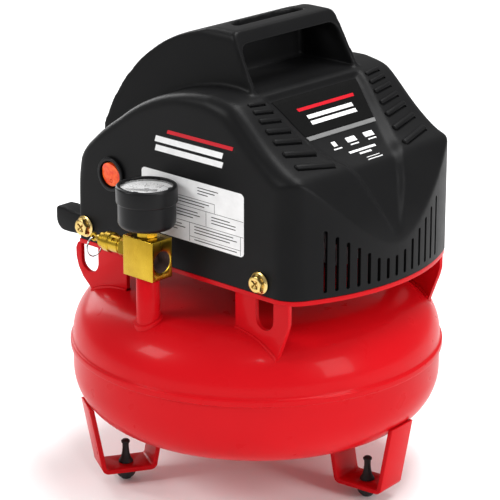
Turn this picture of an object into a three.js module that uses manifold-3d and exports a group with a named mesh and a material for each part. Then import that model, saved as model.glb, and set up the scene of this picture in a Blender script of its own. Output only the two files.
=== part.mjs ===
// Pancake air compressor: flat air tank on three strap feet, slotted carrier legs, moulded shroud with a
// grip, brass manifold with gauge and safety valve, and an oil-free motor pump inside.
// Millimetres, +Z up. The tank's axis is the Z axis and the floor is z = 0. The control panel faces -Y and
// the vented hood faces +X.
import * as THREE from 'three';
import { mergeVertices } from 'three/addons/utils/BufferGeometryUtils.js';
import Module from 'manifold-3d';

const wasm = await Module();
wasm.setup();

// ---- driving dimensions ----
const GAP = 0.3; // clearance between pieces that touch
const TANK = { radius: 123.2, bottom: 42.3, top: 132.7, lowerCorner: 34, upperCorner: 35, wall: 2 };
const SEAM = { z: 91, height: 5, radius: 125 };
const FOOT = {
  radius: 92, angles: [6, 123, 240], width: 24, bottom: 8.5, thick: 3.2, inner: 16, flare: 9.3,
};
const SHROUD = { rear: -88, halfWidth: 79, bottom: 161, wall: 3, frontRadius: 144, frontCentre: -22 };
const CORNER = { x: 87.07, y: 59, radius: 20, angle: 28.4 };
const ARCH = { x: 30, z: 151, radius: 128.3, rearTop: 213 };
const REAR_CURVE = [[-85, 221.5], [-75.5, 231.8], [-61, 243.6]]; // x and z up the arch's rear
const DOME = { x: 21, z: 199, radius: 115, top: 314, frontTop: 24, frontBase: 45, base: 276 };
const GRIP = { rear: 12.5, halfWidth: 45, floor: 277.5, roof: 306, back: -3, slotHalf: 29 };
const PLATE = { bottom: 157.5, top: 160.5, legY: 76, legThick: 3 };
const MANIFOLD = { x: -1, y: -100.5, bottom: 160.8, size: [26.4, 18, 26.4] };
const GAUGE = { bottom: 193.4, caseRadius: 18.6, bezelRadius: 19.7, top: 221.2 };
const VALVE = { z: 175.5, face: MANIFOLD.x - MANIFOLD.size[0] / 2, earX: -50 };
const SHAFT = { z: 202, radius: 5, throw: 5 };
const CYLINDER = { x: -34, bore: 22, outer: 24.5, bottom: 231.3, top: 249.8 };
const SWITCH = { x: -54.9, z: 212, bezel: 11.5, bore: 9.1, rocker: 8 };
const SCREWS = [[-81, 170.5], [76.5, 168.8]]; // x and z on each side wall

// ---- materials ----
const finish = (color, roughness, metalness) =>
  new THREE.MeshStandardMaterial({ color, roughness, metalness });
const RED = finish(0xd81920, 0.25, 0.1);
const BLACK = finish(0x2a2a2b, 0.5, 0);
const RUBBER = finish(0x17171a, 0.85, 0);
const BRASS = finish(0xd4a92e, 0.3, 0.9);
const ZINC = finish(0xc9a64f, 0.35, 0.85);
const STEEL = finish(0xb9bcc0, 0.35, 0.9);
const ALUMINIUM = finish(0xa9abad, 0.5, 0.7);
const COPPER = finish(0xb0592a, 0.4, 0.8);
const ORANGE = finish(0xf0501e, 0.3, 0);
const DIAL = finish(0xc9c9c7, 0.6, 0);
const CLEAR = finish(0xe8eef0, 0.05, 0);
const PTFE = finish(0xeeeae0, 0.5, 0);

const object = new THREE.Group();

// ---- making and joining solids ----
const rad = THREE.MathUtils.degToRad;

function outward(geometry) {
  // turns the faces out when a profile was drawn the other way round
  const p = geometry.attributes.position;
  const index = geometry.index.array;
  const [a, b, c] = [new THREE.Vector3(), new THREE.Vector3(), new THREE.Vector3()];
  let volume = 0;
  for (let i = 0; i < index.length; i += 3) {
    a.fromBufferAttribute(p, index[i]);
    b.fromBufferAttribute(p, index[i + 1]);
    c.fromBufferAttribute(p, index[i + 2]);
    volume += a.dot(b.cross(c));
  }
  if (volume < 0) {
    for (let i = 0; i < index.length; i += 3) {
      [index[i], index[i + 1]] = [index[i + 1], index[i]];
    }
  }
  return geometry;
}

function solid(geometry) {
  const bare = geometry.clone();
  bare.deleteAttribute('normal');
  bare.deleteAttribute('uv');
  const closed = outward(mergeVertices(bare, 1e-4));
  const vertProperties = new Float32Array(closed.attributes.position.array);
  const triVerts = new Uint32Array(closed.index.array);
  return new wasm.Manifold(new wasm.Mesh({ numProp: 3, vertProperties, triVerts }));
}

function geometryOf(manifold) {
  const mesh = manifold.getMesh();
  const geometry = new THREE.BufferGeometry();
  geometry.setAttribute('position', new THREE.BufferAttribute(mesh.vertProperties, 3));
  geometry.setIndex(new THREE.BufferAttribute(mesh.triVerts, 1));
  geometry.computeVertexNormals();
  return geometry;
}

function add(name, shape, material) {
  const geometry = shape.getMesh ? geometryOf(shape) : outward(mergeVertices(stripped(shape), 1e-4));
  geometry.computeVertexNormals();
  const mesh = new THREE.Mesh(geometry, material);
  mesh.name = name;
  object.add(mesh);
  return mesh;
}

function stripped(geometry) {
  geometry.deleteAttribute('normal');
  geometry.deleteAttribute('uv');
  return geometry;
}

// ---- shape makers ----
const outline = (points) => new THREE.Shape(points.map(([x, y]) => new THREE.Vector2(x, y)));
const extruded = (shape, depth, curveSegments = 6) =>
  new THREE.ExtrudeGeometry(shape, { depth, bevelEnabled: false, curveSegments });

// a shape drawn in plan, from z low to z high
const upright = (shape, low, high, segments) => extruded(shape, high - low, segments).translate(0, 0, low);

// a shape drawn in the XZ plane, from y low to y high
const acrossY = (shape, low, high, segments) =>
  extruded(shape, high - low, segments).rotateX(Math.PI / 2).translate(0, high, 0);

// a shape drawn in the YZ plane, from x low to x high
const axesYZ = new THREE.Matrix4().makeBasis(
  new THREE.Vector3(0, 1, 0), new THREE.Vector3(0, 0, 1), new THREE.Vector3(1, 0, 0));
const acrossX = (shape, low, high, segments) =>
  extruded(shape, high - low, segments).applyMatrix4(axesYZ).translate(low, 0, 0);

// profiles are [radius, height] pairs that start and end on the axis, or close on themselves
function turned(profile, segments = 14) {
  const points = profile.map(([r, h]) => new THREE.Vector2(r, h));
  return new THREE.LatheGeometry(points, segments).rotateX(Math.PI / 2);
}
const turnedX = (profile, segments) => turned(profile, segments).rotateY(Math.PI / 2);

// turned pieces whose heights point out of the control panel, along -Y
const turnedOut = (profile, segments) => turned(profile, segments).rotateX(Math.PI / 2);

const rod = (radius, low, high) => [[0, low], [radius, low], [radius, high], [0, high]];
const ring = (inner, outer, low, high) =>
  [[inner, low], [outer, low], [outer, high], [inner, high], [inner, low]];

function box(x0, x1, y0, y1, z0, z1) {
  const block = new THREE.BoxGeometry(x1 - x0, y1 - y0, z1 - z0);
  return block.translate((x0 + x1) / 2, (y0 + y1) / 2, (z0 + z1) / 2);
}

function hexagon(acrossFlats, low, high) {
  return new THREE.CylinderGeometry(acrossFlats / Math.sqrt(3), acrossFlats / Math.sqrt(3), high - low, 6)
    .rotateX(Math.PI / 2).translate(0, 0, (low + high) / 2);
}

// points of a quarter-round, from one angle to another in degrees
function arc(cx, cy, radius, from, to, steps) {
  return Array.from({ length: steps + 1 }, (_, i) => {
    const angle = rad(from + ((to - from) * i) / steps);
    return [cx + radius * Math.cos(angle), cy + radius * Math.sin(angle)];
  });
}

// ---- tank ----
function tankOutside(grow) {
  // the whole tank's outer profile, from the bottom of the axis to its top
  const { radius, bottom, top, lowerCorner, upperCorner } = TANK;
  return [
    [0, bottom - grow],
    ...arc(radius - lowerCorner, bottom + lowerCorner, lowerCorner + grow, -90, 0, 8),
    ...arc(radius - upperCorner, top - upperCorner, upperCorner + grow, 0, 90, 8),
    [0, top + grow],
  ];
}
const tankClearance = solid(turned(tankOutside(GAP), 64));
const TANK_FACETS = 36;
const BUNG_HOLE = 8.3;

function lowerShell() {
  const { radius, bottom, lowerCorner, wall } = TANK;
  const [cx, cz] = [radius - lowerCorner, bottom + lowerCorner];
  const rim = SEAM.z + SEAM.height / 2;
  return turned([
    [BUNG_HOLE, bottom],
    ...arc(cx, cz, lowerCorner, -90, 0, 5),
    [radius, rim],
    [radius - wall, rim],
    ...arc(cx, cz, lowerCorner - wall, 0, -90, 4),
    [BUNG_HOLE, bottom + wall],
    [BUNG_HOLE, bottom],
  ], TANK_FACETS);
}

function upperShell() {
  const { radius, top, upperCorner, wall } = TANK;
  const [cx, cz] = [radius - upperCorner, top - upperCorner];
  const skirtTop = SEAM.z + SEAM.height;
  const shelf = SEAM.z + SEAM.height / 2 + GAP;
  return turned([
    [0, top],
    ...arc(cx, cz, upperCorner, 90, 0, 5),
    [radius, skirtTop],
    [SEAM.radius, skirtTop - 1],
    [SEAM.radius, SEAM.z + 0.6],
    [SEAM.radius - 0.5, SEAM.z],
    [radius + GAP, SEAM.z],
    [radius + GAP, shelf],
    [radius - wall, shelf + 0.6],
    ...arc(cx, cz, upperCorner - wall, 0, 90, 4),
    [0, top - wall],
  ], TANK_FACETS);
}

function drain() {
  const bung = [[5, 37.6], [11, 37.6], [11, 42], [8, 42], [8, 46], [5, 46], [5, 37.6]];
  add('drain_bung', turned(bung), STEEL);
  const thread = turned([[2.2, 28], [4.2, 28], [4.2, 32], [4.7, 32], [4.7, 45], [2.2, 45], [2.2, 28]]);
  const nut = solid(hexagon(13, 31, 37.2)).subtract(solid(turned(rod(2.2, 20, 50))));
  add('drain_cock_body', solid(thread).add(nut), BRASS);
  const stem = turned([[0, 20], [3.2, 20], [3.2, 27.4], [1.9, 27.4], [1.9, 36], [0, 38]], 16);
  const wings = solid(box(-11, 11, -1.4, 1.4, 17.5, 26));
  add('drain_cock_stem', solid(stem).add(wings), BRASS);
}

// ---- feet ----
function footBracket(angle) {
  const { width, bottom, thick, inner, flare } = FOOT;
  const reach = 64;
  const bend = 5;
  const outer = inner + thick;
  const strap = outline([
    [-outer - flare, reach], [-outer, bottom + bend],
    ...arc(-outer + bend, bottom + bend, bend, 180, 270, 4),
    ...arc(outer - bend, bottom + bend, bend, 270, 360, 4), [outer + flare, reach],
    [inner + flare, reach], [inner, bottom + bend], ...arc(inner - 2, bottom + thick + 2, 2, 0, -90, 2),
    ...arc(-inner + 2, bottom + thick + 2, 2, 270, 180, 2), [-inner - flare, reach],
  ]);
  const bent = solid(acrossY(strap, -width / 2, width / 2));
  const hole = solid(turned(rod(4.3, 0, 20), 16));
  const placed = geometryOf(bent.subtract(hole)).translate(FOOT.radius, 0, 0).rotateZ(rad(angle));
  return solid(placed).subtract(tankClearance);
}

function rubberFoot(angle) {
  const profile = [
    [0, 0], [3.2, 0], [5.6, 1.6], [6.8, 4.4], [6.8, 8.2], [3.9, 8.2], [3.9, 12], [5, 12], [3.4, 15],
    [2.2, 20], [2.2, 25], [3, 25.8], [2.6, 27.4], [0, 28],
  ];
  return turned(profile, 12).translate(FOOT.radius, 0, 0).rotateZ(rad(angle));
}

// ---- base plate with its legs ----
function planShape(inset) {
  const { rear, halfWidth, frontRadius, frontCentre } = SHROUD;
  const edge = halfWidth - inset;
  const turn = rad(CORNER.angle);
  const shape = new THREE.Shape();
  shape.moveTo(rear + inset, -edge);
  shape.lineTo(CORNER.x, -edge);
  shape.absarc(CORNER.x, -CORNER.y, CORNER.radius - inset, -Math.PI / 2, -turn, false);
  shape.absarc(frontCentre, 0, frontRadius - inset, -turn, turn, false);
  shape.absarc(CORNER.x, CORNER.y, CORNER.radius - inset, turn, Math.PI / 2, false);
  shape.lineTo(rear + inset, edge);
  return shape;
}

function obround(x, halfWidth, low, high) {
  const end = arc(x, low + halfWidth, halfWidth, 180, 360, 6);
  return outline([[x - halfWidth, high], ...end, [x + halfWidth, high]]);
}

function basePlate() {
  const { bottom, top, legY, legThick } = PLATE;
  const joint = bottom + 1;
  let plate = solid(upright(planShape(0.4), bottom, top, 8));
  const frontLeg = outline([[52.5, joint], [52.5, 116], [86.9, 116], [97.7, 143.8], [97.7, joint]]);
  const rearLeg = outline([
    [-88, joint], [-94.3, 152], [-94.1, 146], [-92.2, 139.5], [-88, 133], [-81, 127], [-76, 116],
    [-46, 116], [-46, joint],
  ]);
  const slots = [obround(77.5, 7.6, 136.6, 156), obround(-81, 8.1, 137.6, 156)];
  for (const side of [-1, 1]) {
    const [y0, y1] = side < 0 ? [-legY, -legY + legThick] : [legY - legThick, legY];
    for (const leg of [frontLeg, rearLeg]) plate = plate.add(solid(acrossY(leg, y0, y1)));
    for (const slot of slots) plate = plate.subtract(solid(acrossY(slot, y0 - 1, y1 + 1)));
    const [t0, t1] = side < 0 ? [-75.5, -73] : [73, 75.5];
    for (const [x, z] of SCREWS) {
      const [rearEdge, frontEdge] = x < 0 ? [x - 3, x + 12] : [x - 12, x + 9];
      const tab = box(rearEdge, frontEdge, t0, t1, joint, 180);
      const screwHole = turnedOut(rod(2.6, -90, 90), 12).translate(x, 0, z);
      plate = plate.add(solid(tab));
      plate = plate.subtract(solid(screwHole));
    }
  }
  const tubeHole = solid(turned(rod(9.5, 150, 170), 20).translate(CYLINDER.x, 44, 0));
  return plate.subtract(tubeHole).subtract(tankClearance);
}

// ---- shroud ----
function archShape(inset, floor) {
  const { x, z, radius, rearTop } = ARCH;
  const hood = new THREE.SplineCurve([
    [x, z + radius], [45, 277], [54, 272.2], [74, 254], [90, 242.5], [103, 236], [112, 220], [119, 200],
    [124, 176],
  ].map(([px, pz]) => new THREE.Vector2(px, pz - inset)));
  return outline([
    [SHROUD.rear + inset, floor], [SHROUD.rear + inset, rearTop - inset],
    ...REAR_CURVE.map(([px, pz]) => [px + 0.7 * inset, pz - 0.7 * inset]),
    ...arc(x, z, radius - inset, 128, 96, 7),
    ...hood.getPoints(14).map((p) => [p.x, p.y]),
    [126, floor],
  ]);
}

function domeShape(inset, arcEnd, front) {
  const { x, z, radius } = DOME;
  return outline([[SHROUD.rear + inset, 200], ...arc(x, z, radius - inset, 161.5, arcEnd, 10), ...front]);
}

function domeSection(inset) {
  // seen along X: side walls lean in towards a rounded top
  const [top, base] = [DOME.top - inset, 190];
  const lean = 0.075;
  const half = (height) => 51 - inset - (height - DOME.base) * lean;
  const round = 6;
  return outline([
    [-half(base), base], [half(base), base], [half(top - round), top - round],
    [half(top) - round * 0.3, top - round * 0.3], [half(top) - round, top],
    [-half(top) + round, top], [-half(top) + round * 0.3, top - round * 0.3],
    [-half(top - round), top - round],
  ]);
}

function ventSlots() {
  // upright slots through the curved front, taller towards the corners
  const count = 14;
  const slots = [];
  for (let i = 0; i < count; i += 1) {
    const angle = -23 + (42 * i) / (count - 1);
    const height = Math.max(13.8, 8.4 + 4.9 * Math.abs(i - (count - 1) / 2));
    const slot = box(130, 150, -1.3, 1.3, 164.5, 164.5 + height);
    slots.push(solid(slot.rotateZ(rad(angle)).translate(SHROUD.frontCentre, 0, 0)));
  }
  return slots;
}

function shroud() {
  const { bottom, halfWidth, wall } = SHROUD;
  const body = solid(acrossY(archShape(0, bottom), -halfWidth, halfWidth))
    .intersect(solid(upright(planShape(0), bottom - 1, 330, 10)));
  const { top, frontTop, frontBase, base } = DOME;
  const slope = [[12, top], [frontTop, top], [frontBase, base], [frontBase, 200]];
  const dome = solid(acrossY(domeShape(0, 95, slope), -60, 60))
    .intersect(solid(acrossX(domeSection(0), -100, 60)));
  const bodyHollow = solid(acrossY(archShape(wall, bottom - 5), -halfWidth, halfWidth))
    .intersect(solid(upright(planShape(wall), bottom - 6, 330, 10)))
    .subtract(solid(box(GRIP.back - wall, 60, -48, 48, GRIP.floor - wall, 330)));
  const back = GRIP.back - wall;
  const domeHollow = solid(acrossY(domeShape(wall, 104, [[back, 300], [back, 200]]), -60, 60))
    .intersect(solid(acrossX(domeSection(wall), -100, 60)));
  let cover = body.add(dome).subtract(bodyHollow).subtract(domeHollow);
  const { rear, halfWidth: half, floor, roof, slotHalf } = GRIP;
  const mouth = outline([
    [-half, floor], [half, floor], [half, roof - 6], [half - 6, roof], [-half + 6, roof], [-half, roof - 6],
  ]);
  cover = cover.subtract(solid(acrossX(mouth, GRIP.back, 70)));
  const fingerSlot = outline([
    [rear, -slotHalf], [rear, slotHalf], [7, slotHalf - 3], [2, slotHalf - 14], [0.5, 0],
    [2, -slotHalf + 14], [7, -slotHalf + 3],
  ]);
  cover = cover.subtract(solid(upright(fingerSlot, roof - 5, 330)));
  for (const slot of ventSlots()) cover = cover.subtract(slot);
  for (const [x, z] of SCREWS) {
    const screwHole = turnedOut(rod(2.7, -90, 90), 12).translate(x, 0, z);
    cover = cover.subtract(solid(screwHole));
  }
  const switchHole = turnedOut(rod(9.9, 60, 90), 24).translate(SWITCH.x, 0, SWITCH.z);
  const glandHole = turnedX(rod(6, -95, -80), 20).translate(0, 30, 180);
  return cover.subtract(solid(switchHole)).subtract(solid(glandHole));
}

// ---- pieces on the shroud ----
function screw(x, z, side) {
  const profile = [[0, 68], [2.3, 68], [2.3, 79.3], [7.2, 79.3], [7.2, 80.5], [0, 80.5]];
  const head = hexagon(10.4, 80, 84.2).rotateX(Math.PI / 2);
  const whole = geometryOf(solid(turnedOut(profile, 14)).add(solid(head)));
  return whole.rotateZ(side < 0 ? 0 : Math.PI).translate(x, 0, z);
}

function cordCleat(y) {
  const hook = outline([
    [-88.3, 160.5], [-108, 158.5], [-117.5, 162], [-118, 172], [-112, 176], [-107, 171], [-88.3, 173.5],
  ]);
  return acrossY(hook, y - 7, y + 7);
}

function cordGland() {
  const profile = [
    [3.5, 80], [5.6, 80], [5.6, 88.3], [8.5, 88.3], [8.5, 91], [6.4, 92], [5, 104], [3.5, 104], [3.5, 80],
  ];
  return turnedX(profile, 14).rotateZ(Math.PI).translate(0, 30, 180);
}

function switchPieces() {
  const { x, z, bezel, bore, rocker } = SWITCH;
  const face = SHROUD.halfWidth;
  const profile = [
    [bore, 66], [bore + 0.6, 66], [bore + 0.6, face + GAP], [bezel, face + GAP], [bezel, face + 1.4],
    [bezel - 0.8, face + 2.4], [bore, face + 2.4], [bore, 66],
  ];
  add('switch_bezel', turnedOut(profile, 22).translate(x, 0, z), BLACK);
  // the rocker turns about the X axis; its face is two slopes that meet at the middle
  const side = outline([
    [-face + 3, -rocker], [-face - 0.8, -rocker], [-face - 0.9, 0], [-face - 3, rocker],
    [-face + 3, rocker],
  ]);
  const round = turnedOut(rod(rocker, 60, 90), 22);
  const body = solid(acrossX(side, -20, 20)).intersect(solid(round));
  add('switch_rocker', geometryOf(body).translate(x, 0, z), ORANGE);
}

// ---- manifold, gauge and safety valve ----
function riserPipe() {
  const { x, y, bottom } = MANIFOLD;
  const pipe = [
    [4, 118], [9.2, 118], [9.2, 131], [8.4, 133.5], [7.6, 135.5], [7.6, bottom - GAP],
    [4, bottom - GAP], [4, 118],
  ];
  return solid(turned(pipe, 18).translate(x, y, 0)).subtract(tankClearance);
}

function manifoldBlock() {
  const { x, y, bottom, size } = MANIFOLD;
  const top = bottom + size[2];
  const [hx, hy] = [size[0] / 2, size[1] / 2];
  let block = solid(box(x - hx, x + hx, y - hy, y + hy, bottom, top));
  const bores = [
    turned(rod(3.6, bottom - 1, top + 1), 16).translate(x, y, 0),
    turned(rod(5.4, top - 9, top + 1), 20).translate(x, y, 0),
    turnedX(rod(7.2, x + hx - 10, x + hx + 1), 24).translate(0, y, 172.6),
    turnedX(rod(3, VALVE.face + 4, x + hx - 5), 12).translate(0, y, 173.6),
    turnedX(rod(4.6, VALVE.face - 1, VALVE.face + 8), 20).translate(0, y, VALVE.z),
  ];
  for (const bore of bores) block = block.subtract(solid(bore));
  return block;
}

function gauge() {
  const { x, y, bottom: blockBottom, size } = MANIFOLD;
  const { bottom, caseRadius, bezelRadius, top } = GAUGE;
  const blockTop = blockBottom + size[2];
  const place = (geometry) => geometry.translate(x, y, 0);
  const stemBore = solid(turned(rod(1.4, 170, 200), 12));
  const stem = solid(turned(rod(5, blockTop - 8, blockTop + 1), 20))
    .add(solid(hexagon(12.4, blockTop + GAP, bottom - GAP))).subtract(stemBore);
  add('gauge_stem', place(geometryOf(stem)), BRASS);
  const wall = 1.2;
  const cup = [
    [1.4, bottom], [caseRadius - 4, bottom], ...arc(caseRadius - 4, bottom + 4, 4, -90, 0, 4).slice(1),
    [caseRadius, top - 2.2], [caseRadius - wall, top - 2.2], [caseRadius - wall, bottom + 4.4],
    [caseRadius - 4.4, bottom + 1.6], [1.4, bottom + 1.6], [1.4, bottom],
  ];
  add('gauge_case', place(turned(cup, 28)), BLACK);
  const rim = [
    [caseRadius + GAP, top - 11], [bezelRadius, top - 11], [bezelRadius, top - 1], [bezelRadius - 0.8, top],
    [caseRadius - 2, top], [caseRadius - 2, top - 1.2], [caseRadius + GAP, top - 1.6],
    [caseRadius + GAP, top - 11],
  ];
  add('gauge_bezel', place(turned(rim, 28)), BLACK);
  const face = caseRadius - wall - GAP;
  add('gauge_dial', place(turned(ring(1.3, face, top - 5, top - 4.2), 24)), DIAL);
  add('gauge_lens', place(turned(rod(face, top - 2.6, top - 1.6), 24)), CLEAR);
  const hub = turned(rod(1.9, top - 3.9, top - 3), 16);
  const post = solid(turned(rod(0.9, top - 9, top - 3.2), 12)).add(solid(hub));
  const pointer = outline([[-6.5, -0.9], [0, -1], [14, -0.3], [14, 0.3], [0, 1], [-6.5, 0.9]]);
  const blade = geometryOf(solid(upright(pointer, top - 3.7, top - 3.3))).rotateZ(rad(-145));
  add('gauge_needle', place(geometryOf(post.add(solid(blade)))), RUBBER);
}

function safetyValve() {
  const { z, face, earX } = VALVE;
  const place = (geometry) => geometry.rotateZ(Math.PI).translate(face, MANIFOLD.y, z);
  // along the valve's own axis, counted out from the block's face
  const barrel = turnedX([
    [2.9, -6], [4.2, -6], [4.2, GAP], [5.9, GAP], [5.9, 18], [6.7, 19], [6.7, 23.4], [2.9, 23.4], [2.9, -6],
  ], 16);
  const nut = solid(hexagon(14, GAP, 6.5).rotateY(Math.PI / 2))
    .subtract(solid(turnedX(rod(2.9, -8, 30), 16)));
  add('safety_valve_body', place(geometryOf(solid(barrel).add(nut))), BRASS);
  const reach = face - earX;
  const stem = solid(turnedX([
    [0, 2], [2.5, 2], [2.5, 24.2], [5.2, 24.2], [5.2, 28], [2.4, 28.6], [2.4, reach - 2.6],
    [0, reach - 2.6],
  ], 12));
  const neck = box(reach - 5, reach, -1, 1, -2, 2);
  const ear = solid(turnedOut(rod(2.9, -1, 1), 16).translate(reach, 0, 0)).add(solid(neck));
  const eye = solid(turnedOut(rod(1.4, -3, 3), 12).translate(reach, 0, 0));
  add('safety_valve_stem', place(geometryOf(stem.add(ear).subtract(eye))), BRASS);
  const [loop, wire] = [6.6, 0.7];
  const pull = new THREE.TorusGeometry(loop, wire, 6, 22).rotateY(Math.PI / 2);
  add('safety_valve_ring', pull.translate(earX, MANIFOLD.y, z - loop), STEEL);
}

// ---- motor ----
const atShaft = (geometry) => geometry.translate(0, 0, SHAFT.z);

function motor() {
  const bore = SHAFT.radius + GAP;
  add('motor_stator', atShaft(turnedX(ring(22.5, 37.5, 6, 56), 24)), STEEL);
  add('field_coil_front', atShaft(turnedX(ring(24.5, 35, 56.3, 65), 18)), COPPER);
  add('field_coil_rear', atShaft(turnedX(ring(24.5, 35, -2.4, 5.7), 18)), COPPER);
  add('motor_shaft', atShaft(turnedX(rod(SHAFT.radius, -21, 97), 16)), STEEL);
  add('armature', atShaft(turnedX(ring(bore, 21.5, 6, 56), 18)), STEEL);
  add('commutator', atShaft(turnedX(ring(bore, 12, 58, 72), 16)), COPPER);
  add('shaft_bearing_front', atShaft(turnedX(ring(bore, 11, 74, 79.7), 14)), STEEL);
  add('shaft_bearing_rear', atShaft(turnedX(ring(bore, 11, -13, -5.4), 14)), STEEL);
  const cup = [
    [11.3, 74], [14.5, 74], [14.5, 76.5], [38, 76.5], [38, 31], [40, 31], [40, 80], [11.3, 80], [11.3, 74],
  ];
  add('motor_bracket_front', atShaft(turnedX(cup, 24)), ALUMINIUM);
  for (const side of [-1, 1]) {
    const [near, far] = [12.5, 23.5].map((reach) => side * reach);
    const holder = box(60, 73.7, Math.min(near, far), Math.max(near, far), -4, 4);
    add(side < 0 ? 'brush_holder_left' : 'brush_holder_right', atShaft(holder), BRASS);
  }
  const hub = [[bore, 83], [27, 83], [27, 84.5], [9, 86], [9, 95], [bore, 95], [bore, 83]];
  let fan = solid(turnedX(hub, 16));
  const blades = 8;
  for (let i = 0; i < blades; i += 1) {
    const blade = box(84, 94, -0.8, 0.8, 8, 26.5).rotateX((i * 2 * Math.PI) / blades);
    fan = fan.add(solid(blade));
  }
  add('cooling_fan', atShaft(geometryOf(fan)), BLACK);
}

// ---- pump ----
function crankcase() {
  const { x, bottom } = CYLINDER;
  const cup = atShaft(turnedX([
    [11.3, -13], [40, -13], [40, 30], [38, 30], [38, -4.6], [11.3, -4.6], [11.3, -13],
  ], 24));
  let casting = solid(cup).add(solid(box(-58, -4, -30, 30, PLATE.top + GAP, 166)));
  for (const side of [-1, 1]) {
    const [near, far] = [22, 27].map((reach) => side * reach);
    casting = casting.add(solid(box(-54, -8, Math.min(near, far), Math.max(near, far), 163, bottom - GAP)));
  }
  const deck = solid(box(-60, -12, -27, 27, bottom - 5.3, bottom - GAP));
  const opening = solid(turned(rod(20.5, bottom - 8, bottom + 2), 20).translate(x, 0, 0));
  const recess = solid(turned(rod(CYLINDER.outer + GAP, bottom - GAP, 260), 24).translate(x, 0, 0));
  return casting.add(deck.subtract(opening)).subtract(recess);
}

function crankAndPiston() {
  const { x } = CYLINDER;
  const pin = SHAFT.z + SHAFT.throw;
  const bearing = x + 1;
  const disc = solid(atShaft(turnedX(rod(16, -23.5, -16), 20)))
    .subtract(solid(atShaft(turnedX(rod(SHAFT.radius + GAP, -21.4, -10), 12))));
  const crankPin = solid(turnedX(rod(6, bearing - 6, -22), 12).translate(0, 0, pin));
  add('eccentric', disc.add(crankPin), STEEL);
  const onPin = (geometry) => geometry.translate(0, 0, pin);
  add('crank_bearing', onPin(turnedX(ring(6.3, 11, bearing - 5, bearing + 4), 14)), STEEL);
  const eye = solid(onPin(turnedX(ring(11.3, 15, bearing - 5, bearing + 4), 18)));
  const shank = solid(box(bearing - 4, bearing + 3, -4.5, 4.5, pin + 13, 244));
  const crown = solid(turned([[0, 243], [14, 243], [14, 249], [0, 249]], 18).translate(x, 0, 0));
  add('connecting_rod', eye.add(shank).add(crown), ALUMINIUM);
  add('piston_cup', turned(ring(14.3, 16.5, 243, 247.5), 20).translate(x, 0, 0), PTFE);
}

function cylinderPieces() {
  const { x, bore, outer, bottom, top } = CYLINDER;
  add('cylinder', turned(ring(bore, outer, bottom, top), 24).translate(x, 0, 0), ALUMINIUM);
  const plateTop = top + GAP + 3;
  const inlet = solid(turned(rod(2.5, top - 2, plateTop + 2), 10).translate(x - 8, 0, 0));
  const outlet = solid(turned(rod(2.5, top - 2, plateTop + 2), 10).translate(x + 8, 0, 0));
  const disc = solid(turned(rod(outer, top + GAP, plateTop), 20).translate(x, 0, 0));
  add('valve_plate', disc.subtract(inlet).subtract(outlet), STEEL);
  const headBottom = plateTop + GAP;
  let head = solid(box(x - 24, x + 24, -24, 24, headBottom, headBottom + 8));
  for (let i = 0; i < 6; i += 1) {
    const fin = x - 23 + i * 8.8;
    head = head.add(solid(box(fin, fin + 2, -24, 24, headBottom + 6, headBottom + 17)));
  }
  add('cylinder_head', head, ALUMINIUM);
  const filter = [[2.5, 24.3], [6, 24.3], [6, 27], [10, 27], [10, 40], [2.5, 40], [2.5, 24.3]];
  add('intake_filter', turnedOut(filter, 14).translate(x, 0, headBottom + 10), BLACK);
}

function airLine() {
  const { x } = CYLINDER;
  const y = 44;
  const valveTop = 150;
  const route = new THREE.CatmullRomCurve3([
    [x, 24.5, 258], [x, 34, 257.5], [x, 42, 250], [x, y, 238], [x, y, 200], [x, y, valveTop + GAP],
  ].map((p) => new THREE.Vector3(...p)), false, 'centripetal');
  const section = new THREE.Shape();
  section.absarc(0, 0, 3.2, 0, Math.PI * 2, false);
  const tube = new THREE.ExtrudeGeometry(section, { extrudePath: route, steps: 18, curveSegments: 4 });
  add('discharge_tube', tube, COPPER);
  const barrel = [[2, 136], [2, valveTop], [5, valveTop], [5, 133], [0, 133], [0, 136], [2, 136]];
  const body = solid(turned(barrel, 12));
  const nut = solid(hexagon(14, 137, 144)).subtract(solid(turned(rod(2, 130, 160), 12)));
  add('check_valve', geometryOf(body.add(nut)).translate(x, y, 0), BRASS);
}

function pressureSwitch() {
  const z = PLATE.top + GAP;
  const housing = solid(box(-82, -64, -62, -32, z, z + 34))
    .add(solid(box(-78, -68, -32.5, -26, z + 6, z + 16)));
  add('pressure_switch', housing, BLACK);
}

// ---- the whole compressor ----
add('tank_lower_shell', lowerShell(), RED);
add('tank_upper_shell', upperShell(), RED);
drain();
FOOT.angles.forEach((angle, i) => {
  add(`foot_bracket_${i + 1}`, footBracket(angle), RED);
  add(`rubber_foot_${i + 1}`, rubberFoot(angle), RUBBER);
});
add('base_plate', basePlate(), RED);
add('riser_pipe', riserPipe(), RED);
add('manifold_block', manifoldBlock(), BRASS);
gauge();
safetyValve();
add('shroud', shroud(), BLACK);
for (const side of [-1, 1]) {
  SCREWS.forEach(([x, z], i) => {
    const place = `${i === 0 ? 'rear' : 'front'}_${side < 0 ? 'left' : 'right'}`;
    add(`screw_${place}`, screw(x, z, side), ZINC);
  });
}
add('cord_cleat_left', cordCleat(-65), BLACK);
add('cord_cleat_right', cordCleat(65), BLACK);
add('cord_gland', cordGland(), BLACK);
switchPieces();
motor();
add('crankcase', crankcase(), ALUMINIUM);
crankAndPiston();
cylinderPieces();
airLine();
pressureSwitch();

export default object;
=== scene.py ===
"""A pancake air compressor: flat red air tank, slotted carrier, black moulded shroud with a grip,
and a brass manifold with a gauge and a safety valve. Metres, +Z up, control panel facing -Y."""
import math

import bpy
from mathutils import Matrix, Vector


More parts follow.
